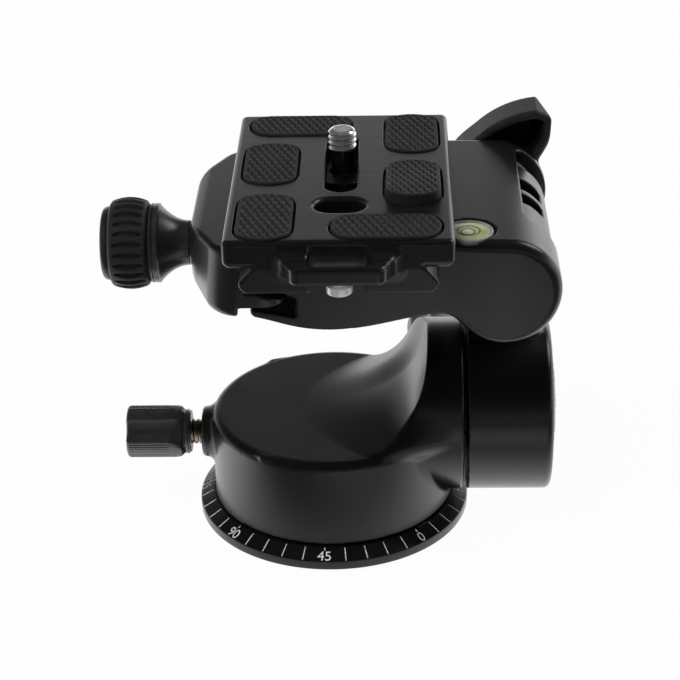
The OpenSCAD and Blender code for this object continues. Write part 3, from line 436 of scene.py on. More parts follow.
def onCone(angle, along, lift):  # along the scale's cone, from its inner edge at 0 to the rim at 1
    rIn, rOut = base["scaleIn"], base["rim"] - 0.1
    zIn, zOut = base["scaleTop"], base["rimTop"] + 0.05
    r, z = rIn + (rOut - rIn) * along, zIn + (zOut - zIn) * along
    tilt = math.atan2(zIn - zOut, rOut - rIn)
    r, z = r + lift * math.sin(tilt), z + lift * math.cos(tilt)
    return np.stack([r * np.cos(angle), r * np.sin(angle), z + 0 * r], -1)


def textMesh(words, height):  # flat outlines of figures, their middle at the origin, as points and faces
    curve = bpy.data.curves.new("figures", "FONT")
    curve.body, curve.align_x, curve.size = words, "CENTER", 1.0
    holder = bpy.data.objects.new("figures", curve)
    scene.collection.objects.link(holder)
    bpy.context.view_layer.update()
    mesh = holder.to_mesh()
    points = np.array([v.co[:2] for v in mesh.vertices])
    faces = [tuple(p.vertices) for p in mesh.polygons]
    holder.to_mesh_clear()
    bpy.data.objects.remove(holder)
    bpy.data.curves.remove(curve)
    points[:, 1] -= points[:, 1].min()
    return points * (height / points[:, 1].max()), faces


def addScale(s):
    slope = math.hypot(base["rim"] - 0.1 - base["scaleIn"], base["scaleTop"] - base["rimTop"])
    points, faces = [], []

    def line(angle, start, end):
        half = s["line"] / 2 / base["rim"]
        corners = [(angle - half, start), (angle - half, end), (angle + half, end), (angle + half, start)]
        first = len(points)
        for lift in (-0.02, s["lift"]):
            points.extend(onCone(np.array(a), np.array(t), lift) for a, t in corners)
        faces.append([first + 4 + k for k in range(4)])
        for k in range(4):
            faces.append([first + k, first + (k + 1) % 4, first + 4 + (k + 1) % 4, first + 4 + k])

    for k in range(360 // s["tick"]):
        angle = math.radians(s["zero"] - k * s["tick"])
        if k * s["tick"] % s["number"]:
            line(angle, s["longIn"], s["longOut"])
            continue
        line(angle, s["shortIn"], s["shortOut"])
        flat, loops = textMesh(str(k * s["tick"]), s["digitHigh"])
        first = len(points)
        top = s["digitTop"] + (s["digitHigh"] - flat[:, 1]) / slope
        points.extend(onCone(angle + flat[:, 0] / base["rim"], top, s["lift"]))
        faces.extend([first + v for v in loop] for loop in loops)
    addPiece("panScale", points, faces, "base", "white_plastic", "mark", sharp=None)


addScale(scale)

body = {"drum": 27.8, "low": 4.9, "top": 25.4, "round": 2.1, "neck": 19.8, "tiltZ": 25.8, "neckX": 29.9,
        "sweepStart": -10.5, "sweepLean": 11.0, "sweepEnd": 21.8, "sweepRear": 2.2, "sweepHigh": 22.0,
        "sweepLow": 25.35, "square": 2.5, "crest": 0.7, "ledge": 8.0, "ledgeZ": (21, 27), "panZ": 18.6, "boss": 5.9,
        "bossFillet": 1.6, "bossIn": 20, "panFace": 30.3, "tiltX": 23.8, "tiltFace": 22.3, "lip": 1.2, "lipLong": 0.5,
        "spigot": 13.05, "spigotTop": 23.5, "tiltHoles": ((12.07, 21.4), (4.02, 14.5)),
        "lockHoles": ((3.1, 11, 10), (4.67, 23.3, 15.3)), "grubs": (55, 125), "grub": 2.02, "grubIn": 11, "edge": 0.2}


def bodyField(x, y, z):
    b = body
    drum = meet(meet(rod(x, y, b["drum"]), z - b["top"], b["round"]), b["low"] - z, 0.4)
    neck = meet(rod(y, z - b["tiltZ"], b["neck"]), x - b["neckX"], 0.5)
    start = b["sweepStart"] + b["sweepLean"] * np.minimum(np.abs(y) / b["neck"], 1.4) ** 2
    end = b["sweepEnd"] - b["sweepRear"] * soften(y, 2, 14)
    wide, high, n = end - start, b["sweepHigh"], b["square"]
    u, v = np.maximum(x - start, 0) / wide, np.abs(z - b["sweepLow"] - high) / high
    q = np.maximum((u ** n + v ** n) ** (1 / n), 1e-6)
    hollow = (q - 1) * q ** (n - 1) / np.maximum(np.hypot(u ** (n - 1) / wide, v ** (n - 1) / high), 1e-6)
    ledge = 1 + (b["ledge"] - 1) * soften(z, *b["ledgeZ"])  # the drum's wall runs up into the neck
    solid = join(drum, cut(join(drum, meet(neck, -12 - x), ledge), hollow, b["crest"]))
    panBoss = meet(rod(y, z - b["panZ"], b["boss"]), span(x, -b["panFace"], -b["bossIn"]), 1.0)
    tiltBoss = meet(rod(x - b["tiltX"], z - b["tiltZ"], b["boss"]), span(y, 12, b["tiltFace"]), 1.0)
    panBoss = meet(join(rod(x, y, b["drum"]), panBoss, b["bossFillet"]), z - b["top"] + 0.9, 1.0)
    solid = join(join(solid, meet(panBoss, x + b["bossIn"])), tiltBoss, b["bossFillet"])
    solid = meet(solid, x - b["neckX"])
    solid = join(solid, meet(rod(y, z - b["tiltZ"], b["neck"] - b["lip"]), span(x, 28, b["neckX"] + b["lipLong"])))
    holes = [meet(rod(x, y, b["spigot"]), z - b["spigotTop"])]
    holes += [meet(rod(y, z - b["tiltZ"], r), start - x) for r, start in b["tiltHoles"]]
    for r, panEnd, tiltEnd in b["lockHoles"]:  # for the locks' studs and bushes
        holes += [meet(rod(y, z - b["panZ"], r), x + panEnd),
                  meet(rod(x - b["tiltX"], z - b["tiltZ"], r), tiltEnd - y)]
    for turn in b["grubs"]:
        c, s = math.cos(math.radians(turn)), math.sin(math.radians(turn))
        holes.append(meet(rod(y * c - x * s, z - b["panZ"], b["grub"]), b["grubIn"] - x * c - y * s))
    for hole in holes:
        solid = cut(solid, hole, b["edge"])
    return solid


addCasting("drumBody", bodyField, (-31, -28.5, 4.4), (31.2, 28.5, 46.4), 0.55,
           "pan_body", "black_metal", "casting", ["body_casting"])

arm = {"tiltZ": 25.8, "barrel": 19.8, "barrelX": 30.7, "barrelEnd": 49.9, "spigot": 10.0, "rollX": 38.2,
       "rollZ": 65.7, "hub": 11.3, "waist": 8.0, "front": 3.2, "rear": 28.9,
       "rimFront": -9.4, "rimRear": 21.3, "recess": 8.8, "pockets": ((0.2, 5.4), (7.8, 13.8)), "pocketEnd": 9.0,
       "inner": 31.0, "outer": 47.0, "back": 16.8, "round": 1.6, "edge": 0.5, "fillet": 2.5, "spigotX": (21.6, 32),
       "axle": 4.05, "washer": 7.9, "washerX": 43.9, "dial": 15.82, "dialX": 49.2, "bush": 6.07, "bushY": (-5, 30)}


def armField(x, y, z):
    a = arm
    barrel = meet(rod(y, z - a["tiltZ"], a["barrel"]), x - a["barrelEnd"], a["round"])
    barrel = meet(barrel, a["barrelX"] - x, a["edge"])
    u, v = x - a["rollX"], z - a["rollZ"]
    length = span(y, -a["front"], a["rear"])
    rim = meet(rod(u, v, a["hub"]), span(y, a["rimFront"], a["rimRear"]), a["edge"])
    for low, high in a["pockets"]:
        rim = cut(rim, meet(meet(span(y, low, high), u - a["pocketEnd"], 0.8), 1 - v), 0.35)
    rim = cut(rim, meet(rod(u, v, a["recess"]), y + a["front"]), 0.3)
    hub = join(meet(rod(u, v, a["waist"]), length, 0.3), rim)
    upright = meet(span(x, a["inner"], a["outer"]), span(y, -a["front"], a["back"]), a["fillet"])
    upright = meet(upright, span(z, a["tiltZ"], a["rollZ"]))
    upper = join(hub, upright, 0.8)
    solid = meet(join(barrel, upper, a["fillet"]), a["barrelX"] - x, a["edge"])
    solid = join(solid, meet(rod(y, z - a["tiltZ"], a["spigot"]), span(x, *a["spigotX"])))
    for hole in (rod(y, z - a["tiltZ"], a["axle"]), meet(rod(y, z - a["tiltZ"], a["washer"]), a["washerX"] - x),
                 meet(rod(y, z - a["tiltZ"], a["dial"]), a["dialX"] - x),
                 meet(rod(u, v, a["bush"]), span(y, *a["bushY"]))):
        solid = cut(solid, hole, 0.15)
    return solid


addCasting("tiltBarrel", armField, (20.2, -20.4, 5.4), (50.8, 29.4, 77.6), 0.5,
           "arm", "black_metal", "casting", ["tilt_arm"])

platform = {"top": 77.8, "left": -16.23, "front": 24.6, "rear": 27.0, "floor": 73.2, "flankX": 23.97, "flankZ": 76.1,
            "bellyX": 0.77, "bellyZ": 57.1, "belly": 34.4, "webX": 9.0, "webZ": 60.7, "rollX": 38.2, "rollZ": 65.7,
            "ear": 12.1, "earRear": 32.9, "earStart": 24.0, "dome": 0.9, "domeHalf": 16.0, "slotFront": 4.0,
            "slotRear": 29.7, "slotLow": -7.8, "bore": 11.5, "ledge": 10.0, "boss": 8.5, "rise": 67, "fall": 10,
            "middle": 3.27, "relief": 11.4, "reliefLow": 69.4, "reliefFront": -14.55, "reliefRear": 16.95,
            "recess": ((-30, 62.6), (-17.5, 62.6), (-6.4, 60.4), (-6.4, 64.9), (-16.2, 68.75), (-30, 68.75)),
            "lipX": -9.0, "lipZ": 59.5, "lipRise": 0.12, "clampZ": 67, "clampHoles": ((3.3, -6.53), (3.05, 7.77)),
            "pin": 1.55, "pinY": 13, "pinZ": 70.8, "pinEnd": -7.53, "vialX": 30.4, "vialY": -18.5, "vial": 5.75,
            "vialLow": 73.8, "boltFront": 4.02, "boltSpan": (-18, 0), "boltRear": 4.05, "boltStart": 28.7}


def platformField(x, y, z):
    p = platform
    belly = rod(x - p["bellyX"], z - p["bellyZ"] - p["belly"], p["belly"])
    under = join(belly, meet(p["webZ"] - z, p["webX"] - x), 4.0)
    lip = meet(p["lipZ"] + p["lipRise"] * (p["lipX"] - x) - z, x - p["lipX"])
    under = join(under, lip, 0.8)
    section = meet(meet(under, z - p["top"], 0.6), p["left"] - x, 1.3)
    section = meet(section, x - p["rollX"])
    far = 40
    channel = outline(x, z, [(-far, p["floor"]), (p["flankX"], p["floor"]), (p["flankX"], p["flankZ"]),
                             (p["flankX"] - 5, p["flankZ"] + 5), (-far, p["flankZ"] + 5)])
    section = cut(section, channel, 0.5)
    u, v = x - p["rollX"], z - p["rollZ"]
    ear = rod(u, v, p["ear"])
    both = np.minimum(np.minimum(section, ear), join(meet(section, z - p["clampZ"]), ear, 2.5))
    grow = soften(x, 22, 31)
    dome = p["dome"] * soften(p["domeHalf"] - np.abs(x - p["rollX"]), 0, p["domeHalf"])
    front = -p["front"] - dome - y
    rear = join(y - p["rear"], meet(y - p["earRear"], p["earStart"] - x), 0.8)
    solid = meet(meet(both, front, 1.0 + 1.3 * grow), rear, 0.8)
    gap = span(y, -p["ledge"], p["slotRear"])
    low = p["slotLow"]
    wedge = outline(u, v, [(low, 0), (low - far * math.tan(math.radians(p["fall"])), -far), (far, -far), (far, far),
                           (far / math.tan(math.radians(p["rise"])), far), (0, 0)])
    slot = join(meet(rod(u, v, p["bore"]), gap), meet(wedge, gap, 2.5))
    solid = cut(solid, cut(slot, meet(rod(u, v, p["boss"]), y + p["slotFront"])), 0.45)
    groove = rod(x - p["middle"], z - p["reliefLow"] - p["relief"], p["relief"])
    solid = cut(solid, meet(groove, np.minimum(y - p["reliefFront"], p["reliefRear"] - y)), 0.6)
    solid = cut(solid, outline(x, z, p["recess"]), 0.35)
    holes = [meet(rod(y, z - p["clampZ"], r), x - end) for r, end in p["clampHoles"]]
    holes += [meet(rod(np.abs(y) - p["pinY"], z - p["pinZ"], p["pin"]), x - p["pinEnd"]),
              meet(rod(x - p["vialX"], y - p["vialY"], p["vial"]), p["vialLow"] - z),
              meet(rod(u, v, p["boltFront"]), span(y, *p["boltSpan"])),
              meet(rod(u, v, p["boltRear"]), p["boltStart"] - y)]
    for hole in holes:
        solid = cut(solid, hole, 0.15)
    return solid


addCasting("clampPlatform", platformField, (-17, -27.4, 52.8), (51, 33.6, 78.6), 0.5,
           "platform", "black_metal", "faced", ["platform_casting"])

vial = {"x": 30.4, "y": -18.5, "low": 73.9, "top": 77.8, "r": 5.35, "window": 4.65, "sunk": 0.3, "crown": 0.22,
        "deep": 1.2, "gap": 0.02, "ring": 2.4, "line": 0.24, "bubble": 1.45, "bubbleRimShade": 0.16, "bubbleHigh": 0.2,
        "bubbleOff": (-0.2, -0.75)}


def addVial(v):
    place, rim = (v["x"], v["y"], 0), v["top"] - v["sunk"]
    floor, edge = rim - v["deep"], v["window"] - v["gap"]
    crown = lambda r: rim + v["crown"] * (1 - (r / v["window"]) ** 2)
    cup = roundPath([(onAxis, v["low"], 0), (v["r"], v["low"], 0.2), (v["r"], v["top"], 0.4),
                     (v["window"] + 0.25, v["top"], 0.2), (v["window"], rim - 0.1, 0), (v["window"], floor, 0),
                     (onAxis, floor, 0)])
    addPiece("vialCup", *turned(cup, "z", place), "platform", "vial", "vialRim", ["level_vial"])
    top = [(r, crown(r)) for r in np.linspace(onAxis, edge, 16)]
    path = [(onAxis, floor + v["gap"])] + top + [(edge, floor + v["gap"])]
    addPiece("vialFluid", *turned(path, "z", place), "platform", "vial", "vialFluid")
    spot = (v["x"] + v["bubbleOff"][0], v["y"] + v["bubbleOff"][1], crown(0.8) - 0.12)
    # the vial's printed ring, then painted shade: a thin dark ring round the bubble stands in for its dark edge,
    # where the light bends
    for name, r, line, where, drop in (("vialRing", v["ring"], v["line"], place, crown(v["ring"])),
                                       ("bubbleRimShade", v["bubble"], v["bubbleRimShade"], spot, 0.12)):
        low, high = r - line / 2, r + line / 2
        path = [(low, drop - 0.05), (low, drop + 0.03), (high, drop + 0.03), (high, drop - 0.05)]
        addPiece(name, *turned(path, "z", where), "platform", "black_plastic", "ink")
    turns = np.linspace(-math.pi / 2, math.pi / 2, 14)
    path = [(max(v["bubble"] * math.cos(t), onAxis), v["bubbleHigh"] * math.sin(t)) for t in turns]
    addPiece("vialBubble", *turned(path, "z", spot), "platform", "vial", "vialBubble", sharp=None)


addVial(vial)

lever = {"x": 38.2, "z": 65.7, "front": 33.2, "rear": 44.2, "hub": 11.5, "wall": 1.8, "back": 135, "fore": 28,
         "bend": (-0.9, 17.4), "tipBack": (9.9, 18.6), "tip": (14.2, 16.7), "tipFore": (13.7, 13.5),
         "foreBend": (13.0, 9.6), "side": (0.963, 0.27), "sideAt": -21.95, "round": 1.2, "rib": 0.7, "ribAngle": 38,
         "ribStart": 5.0, "ribRise": 0.25, "ribFrom": 8, "nut": 6.57, "nutEnd": 41.2, "bolt": 4.05, "cap": 6.55,
         "capLow": 42.8}


def wingCorners(w):
    turn = lambda a: (w["hub"] - w["wall"] / 4) * np.array((math.cos(math.radians(a)), math.sin(math.radians(a))))
    sweep = lambda a, b, c: [(1 - t) ** 2 * a + 2 * t * (1 - t) * b + t * t * c for t in np.linspace(0, 1, 13)]
    back, bend, fore, foreBend = (np.array(w[key]) for key in ("tipBack", "bend", "tipFore", "foreBend"))
    tip = [np.array(w["tip"])]
    return ([np.zeros(2)] + sweep(turn(w["back"]), bend, back) + tip + sweep(fore, foreBend, turn(w["fore"])))[::-1]


def leverField(x, y, z):
    w = lever
    u, v = x - w["x"], z - w["z"]
    wing = join(rod(u, v, w["hub"]), outline(u, v, wingCorners(w)), 1.5)
    side = w["side"][0] * u + w["side"][1] * y + w["sideAt"]  # the end slants back from its front edge
    deep = span(y, w["front"], w["rear"])
    solid = join(meet(meet(wing, deep, w["round"]), side, 0.6), meet(rod(u, v, w["hub"]), deep, w["round"]))
    hollow = meet(meet(wing + w["wall"], y - (w["rear"] - w["wall"])), side + w["wall"])
    hollow = cut(hollow, rod(u, v, w["nut"] + w["wall"]), 0.5)
    lean = math.radians(w["ribAngle"])
    along = u * math.cos(lean) + v * math.sin(lean) - w["ribFrom"]
    rib = meet(np.abs(v * math.cos(lean) - u * math.sin(lean)) - w["rib"],
               w["front"] + w["ribStart"] + w["ribRise"] * along - y)
    solid = cut(solid, cut(hollow, rib, 0.4), 0.35)
    for hole in (meet(rod(u, v, w["nut"]), y - w["nutEnd"]), rod(u, v, w["bolt"]),
                 meet(rod(u, v, w["cap"]), w["capLow"] - y)):
        solid = cut(solid, hole, 0.15)
    return solid


addCasting("rollLever", leverField, (26, 32.7, 53.6), (54, 44.7, 87), 0.4,
           "lever", "black_plastic", "lever", ["roll_lever"])

cap = {"r": 6.45, "low": 42.85, "top": 44.2, "shank": 3.9, "hex": 2.5, "hexLow": 43.1, "hexTurn": 0.3, "rim": 1.4,
       "dish": 22.8, "dishDeep": 0.3}


def capField(x, y, z):
    c = cap
    u, v = x - lever["x"], z - lever["z"]
    head = meet(rod(u, v, c["r"]), span(y, c["low"], c["top"]), 0.4)
    dish = rod(np.hypot(u, v), y - c["top"] - c["dish"] + c["dishDeep"], c["dish"])  # round the socket
    head = cut(head, meet(dish, rod(u, v, c["r"] - c["rim"])), 0.15)
    shank = meet(rod(u, v, c["shank"]), span(y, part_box("lever_screw")[0][1] / mm, c["low"] + 0.4))
    turns = [c["hexTurn"] + k * math.pi / 3 for k in range(3)]
    sides = np.max([np.abs(u * math.cos(t) + v * math.sin(t)) for t in turns], 0)
    return cut(join(head, shank), meet(sides - c["hex"], c["hexLow"] - y), 0.15)


addCasting("leverCap", capField, (31.2, 38.8, 58.7), (45.2, 44.8, 72.7), 0.22,
           "lever", "steel", "blackSteel", ["lever_screw"])

jaw = {"left": -30.23, "flat": 12.6, "half": 29.0, "low": 62.5, "top": 77.8, "inner": -16.83,
       "flankX": -17.43, "flankZ": 76.1, "floor": 73.2, "tongueLow": 64.7, "tongueTop": 68.1, "tongueEnd": -8.23,
       "foot": -18.53, "tongueBend": 6.0, "tongueTip": 65.45,
       "bend": 5.0, "lean": 0.5, "leanLow": 0.33, "tuck": 1.0, "under": (1.6, 2.4), "underX": (19, 25),
       "brow": (6, 3), "browIn": 1.5, "far": 6, "nose": 2.7, "tongueBack": -14.6, "screw": 3.3, "screwZ": 67,
       "keyTop": 69, "pin": 1.52, "pinY": 13, "pinZ": 70.8, "pinIn": -23.83}


def jawField(x, y, z):
    j = jaw
    drop = soften(j["top"] - z, 0, 14)
    lean = j["lean"] + (j["leanLow"] - j["lean"]) * drop
    slant = (j["left"] + j["tuck"] * drop + lean * (np.abs(y) - j["flat"]) - x) / np.sqrt(1 + lean * lean)
    plan = meet(meet(j["left"] - x, slant, 2.0), np.abs(y) - j["half"], j["bend"])
    bend = j["under"][0] + (j["under"][1] - j["under"][0]) * soften(-x, *j["underX"])
    solid = meet(meet(plan, j["low"] - z, bend), z - j["top"], 1.3)
    rise, run = j["brow"]
    solid = meet(solid, ((j["left"] + j["browIn"] - x) * rise - (j["top"] - z) * run) / math.hypot(rise, run), 2.0)
    room = outline(x, z, [(j["foot"], j["low"] - 1), (j["far"], j["low"] - 1), (j["far"], j["top"] + 1),
                          (j["flankX"] + j["nose"], j["top"] + 1), (j["flankX"], j["flankZ"]),
                          (j["flankX"], j["floor"]), (j["inner"], j["floor"]), (j["inner"], j["tongueTop"]),
                          (j["tongueBack"], j["tongueTop"] - 0.1), (j["tongueEnd"], j["tongueTip"]),
                          (j["tongueEnd"], j["tongueLow"]), (j["foot"], j["tongueLow"])])
    solid = cut(solid, room, 0.5)
    solid = meet(solid, meet(np.abs(y) - j["half"], x - j["tongueEnd"], j["tongueBend"]), 0.4)
    for hole in (rod(y, z - j["screwZ"], j["screw"]),
                 meet(meet(np.abs(y) - j["screw"], z - j["keyTop"]), j["inner"] - x),
                 meet(rod(np.abs(y) - j["pinY"], z - j["pinZ"], j["pin"]), j["pinIn"] - x)):
        solid = cut(solid, hole, 0.15)
    return solid


addCasting("clampJaw", jawField, (-31, -29.6, 62), (-7.6, 29.6, 78.4), 0.56,
           "jaw", "black_metal", "faced", ["clamp_jaw"])

plate = {"x": 3.27, "y": -3.5, "half": 23.75, "long": 35.95, "top": 84.7, "slab": 78.8, "neck": 17.6, "dove": 20.9,
         "edge": 75.3, "foot": 19.2, "low": 73.3, "round": 1.2, "slabRound": 1.7, "notch": 6.2, "front": 1.5,
         "doveFront": 0.45, "topEdge": 1.2, "lean": 0.08, "slot": 3.5,
         "slotFront": -6.4, "slotRear": 18.5, "room": 8.2, "roomTop": 79.1, "holeY": -16.8, "hole": 3.7,
         "holeHalf": 1.65, "stopY": 31.5, "stop": 2.02, "stopTop": 79.5, "loopWide": 12.2, "loopBar": 9.2,
         "loopReach": 6.8, "loopIn": 6, "loopRound": 2.4, "bar": 2.0, "gap": 6.0, "loopLow": 78.0, "loopTop": 82.0}
pads = {"long": 4.0, "bow": 7.4, "half": 5.85, "floor": 83.5, "top": 85.2, "gap": 0.45, "lift": (0.5, 1.4), "spots": {
    "pad_front_left": (-15.5, -23, 90), "pad_mid_left": (-15.5, 5.7, 90), "pad_rear_left": (-9.7, 28.2, 0),
    "pad_rear_right": (15.5, 23, 90), "pad_mid_right": (15.5, -5.7, 90), "pad_front_right": (9.7, -28.2, 0)}}


def padOutline(x, y, spot):  # and the place on the pad
    dx, dy, turn = spot
    c, s = math.cos(math.radians(turn)), math.sin(math.radians(turn))
    px, py = x - plate["x"] - dx, y - plate["y"] - dy
    u, v = px * c + py * s, py * c - px * s
    return meet(capsule(u, v, -pads["long"], pads["long"], pads["bow"]), np.abs(v) - pads["half"], 1.2), u, v


def plateField(x, y, z):
    p = plate
    u, v = x - p["x"], y - p["y"]
    right = [(p["foot"], p["low"]), (p["dove"], p["edge"]), (p["neck"], p["slab"]), (p["neck"], p["slab"] + 4)]
    section = join(outline(u, z, right + [(-a, b) for a, b in right[::-1]], p["round"]),
                   meet(np.abs(u) - p["half"], p["slab"] - z, p["slabRound"]), 0.3)
    section = cut(section, meet(rod(u, np.abs(v) - p["stopY"], p["notch"]), z - p["slab"]), 1.0)
    bend = p["doveFront"] + (p["front"] - p["doveFront"]) * soften(z, p["slab"] - 0.5, p["slab"] + 0.5)
    solid = meet(section, np.abs(v) - p["long"] + p["lean"] * np.maximum(z - p["slab"], 0), bend)
    solid = meet(solid, z - p["top"], p["topEdge"])
    front = -p["long"]
    left = [(-p["loopWide"], front + p["loopIn"]), (-p["loopWide"], front), (-p["loopBar"], front - p["loopReach"])]
    ring = outline(u, v, left + [(-a, b) for a, b in left[::-1]], p["loopRound"])
    opening = meet(np.abs(u) - p["gap"], span(v, front - p["loopReach"] + p["bar"], front + 3), 1.6)
    loop = meet(cut(ring, opening, 0.5), span(z, p["loopLow"], p["loopTop"]), 1.0)
    solid = join(solid, loop, p["loopRound"])
    solid = cut(solid, meet(opening, v - front - 0.3), 0.5)
    slot = capsule(v, u, p["slotFront"], p["slotRear"], p["slot"])
    solid = cut(solid, slot, 0.35)
    solid = cut(solid, meet(capsule(v, u, p["slotFront"], p["slotRear"], p["room"]), z - p["roomTop"]), 0.2)
    solid = cut(solid, capsule(u, v - p["holeY"], -p["holeHalf"], p["holeHalf"], p["hole"]), 0.9)
    for spot in pads["spots"].values():
        solid = cut(solid, meet(padOutline(x, y, spot)[0] - pads["gap"], pads["floor"] - z), 0.25)
    return cut(solid, meet(rod(u, np.abs(v) - p["stopY"], p["stop"]), z - p["stopTop"]), 0.15)


addCasting("quickPlate", plateField, (-21.2, -47, 72.9), (27.8, 33.2, 85.4), 0.42,
           "plate", "black_metal", "machined", ["plate_body"])

weave = {"wide": 1.65, "deep": 4.0, "high": 0.26}


def addPads():
    for node, spot in pads["spots"].items():
        lifted = node == "pad_mid_right"

        def field(x, y, z):
            edge, u, v = padOutline(x, y, spot)
            px, py = x - plate["x"], y - plate["y"]
            wave = np.sin(2 * math.pi * px / weave["wide"]) * np.sin(2 * math.pi * py / weave["deep"])
            top = pads["top"] - 0.12 + weave["high"] * (wave - 0.3) * soften(-edge, 0.2, 1.2)
            if lifted:
                top = top + pads["lift"][0] + pads["lift"][1] * soften(spot[1] - py, -11, 11)
            return meet(meet(edge, z - top, 0.35), pads["floor"] - z)

        x, y = plate["x"] + spot[0], plate["y"] + spot[1]
        wide, long = pads["half"] + 0.45, pads["long"] + pads["bow"] + 0.5  # room for the grid
        wide, long = (wide, long) if spot[2] else (long, wide)
        name = "rubber" + node[4:].title().replace("_", "")
        addCasting(name, field, (x - wide, y - long, 83.2), (x + wide, y + long, 88), 0.3,
                   "plate", "rubber", "pad", [node])


addPads()

screw = {"x": 3.27, "y": 11.7, "head": 7.6, "low": 75.4, "headTop": 78.0, "thread": 3.175, "core": 2.78,
         "pitch": 1.27, "shank": 2.5, "shankLow": 79.1, "threadLow": 84.4, "top": 89.2, "coin": 0.8, "coinTop": 76.6}


def screwField(x, y, z):
    s = screw
    u, v = x - s["x"], y - s["y"]
    turn = np.arctan2(v, u) / (2 * math.pi)
    wave = np.abs(((z - s["top"]) / s["pitch"] - turn) % 1 - 0.5) * 2
    thread = (np.hypot(u, v) - s["core"] - (s["thread"] - s["core"]) * wave) * 0.75
    thread = meet(thread, (np.hypot(u, v) + z - s["top"] - s["thread"] + 0.75) * 0.7)
    thread = meet(thread, span(z, s["threadLow"], s["top"]), 0.25)
    head = cut(meet(rod(u, v, s["head"]), span(z, s["low"], s["headTop"]), 0.4),
               meet(np.abs(u) - s["coin"], z - s["coinTop"]), 0.15)
    neck = meet(rod(u, v, s["thread"] - 0.02), span(z, s["headTop"] - 1, s["shankLow"]))
    shank = meet(rod(u, v, s["shank"]), span(z, s["shankLow"] - 1, s["threadLow"] + 1))
    return join(join(thread, head), join(neck, shank))


addCasting("cameraScrew", screwField, (-4.9, 3.6, 75), (11.4, 19.9, 90.2), 0.2,
           "screw", "bright_steel", "chrome", ["camera_screw"])

stops = {"low": 71.4, "head": 2.75, "headTop": 73.4, "shank": 2.0, "top": 79.4}


def addStops(p):
    path = roundPath([(onAxis, p["low"], 0), (p["head"], p["low"], 0.5), (p["head"], p["headTop"], 0.15),
                      (p["shank"], p["headTop"], 0), (p["shank"], p["top"], 0.3), (onAxis, p["top"], 0)])
    parts = [turned(path, "z", (plate["x"], plate["y"] + way * plate["stopY"], 0), 48) for way in (-1, 1)]
    points = np.concatenate([p for p, f in parts])
    faces = parts[0][1] + [tuple(k + len(parts[0][0]) for k in f) for f in parts[1][1]]
    addPiece("stopPins", points, faces, "plate", "bright_steel", "pin", ["stop_pins"])


addStops(stops)

lock = {"collar": 5.2, "body": 6.05, "long": 13.65, "collarLong": 1.2, "scoop": 4.2, "deep": 1.5, "rib": 0.62,
        "ribDeep": 0.06, "flare": 4.0, "bevel": 0.9, "round": 0.8, "stud": 3.0, "studDeep": 0.34, "grip": 7.0,
        "show": 2.6, "pitch": 1.0, "shoe": 4.5, "shoeGap": 0.4}


def lockKnob(k, face, phase):  # along X from the boss's face outwards; phase turns a scoop's middle
    start = face + k["show"]
    neck, end = start + k["collarLong"], start + k["collarLong"] + k["long"]
    path = [(k["stud"] + 0.02, start, 0), (k["collar"] - 0.3, start, 0.2), (k["collar"] - 0.3, start + 0.5, 0),
            (k["collar"], start + 0.55, 0.1), (k["collar"], neck, 0)]
    path += [(k["collar"] + (k["body"] - k["collar"]) * t ** 0.8, neck + k["bevel"] * t, 0)
             for t in np.linspace(0.05, 1, 8)]
    path += [(k["body"], x, 0) for x in np.linspace(neck + k["bevel"] + 0.4, end - 1.0, 20)]
    path += [(k["body"] - k["round"] * (1 - math.cos(a)), end - k["round"] * (1 - math.sin(a)), 0)
             for a in np.linspace(0, math.pi / 2, 8)]
    path += [(r, end, 0) for r in (3.6, 2.4, 1.2, onAxis)]
    path += [(onAxis, start + k["grip"], 0), (k["stud"] + 0.02, start + k["grip"], 0)]
    middle = k["body"] - k["deep"] + k["scoop"]

    def relief(turn, x, radius):
        off = (turn - math.radians(phase) + math.pi / 3) % (2 * math.pi / 3) - math.pi / 3
        off = off * (1 - 0.5 * (1 - soften(x, neck, neck + k["flare"])))  # scoops widen towards the collar
        inner = k["scoop"] ** 2 - (middle * np.sin(off)) ** 2
        dent = np.where(inner > 0, middle * np.cos(off) - np.sqrt(np.maximum(inner, 0)), 99)
        rib = k["ribDeep"] * (np.cos(2 * math.pi * off * k["body"] / k["rib"]) - 1)
        lobe = np.minimum(k["body"] + rib * soften(dent, k["body"] - 0.05, k["body"] + 0.35), dent)
        share = soften(x, neck - 0.1, neck + 0.6) * (radius > k["collar"] - 0.01) + 0 * radius
        flat = soften(radius, 0.5, k["body"])
        return (lobe - k["body"]) * np.where(x >= end - 1e-6, flat, share)

    return path, relief


def addLock(label, k, face, phase, place, turn, bodyName, shoe):
    path, relief = lockKnob(k, face, phase)
    points, faces = turned(roundPath(path, 3), "x", (0, 0, 0), 240, relief)
    spin = np.array(Matrix.Rotation(math.radians(turn), 3, "Z").transposed())
    addPiece(label + "Knob", points @ spin + np.array(place), faces, bodyName, "black_plastic", "knob",
             [label + "_lock_knob"], sharp=40)
    low, high = shoe + k["shoe"] + k["shoeGap"], face + k["show"] + k["grip"]

    def stud(x, y, z):
        wave = np.abs((x / k["pitch"] - np.arctan2(z, y) / (2 * math.pi)) % 1 - 0.5) * 2
        return meet((np.hypot(y, z) - k["stud"] + k["studDeep"] * (1 - wave)) * 0.75, span(x, low, high), 0.3)

    points, quads, normals = castSkin(stud, (low - 0.6, -3.5, -3.5), (high + 0.6, 3.5, 3.5), 0.2)
    addPiece(label + "Stud", points @ spin + np.array(place), quads, bodyName, "steel", "stud",
             [label + "_lock_stud"], normals @ spin)


addLock("pan", lock, 30.3, 31, (0, 0, 18.6), 180, "pan_knob", 11.6)
addLock("tilt", lock, 22.3, 60, (23.8, 0, 25.8), 90, "tilt_knob", 10.0)

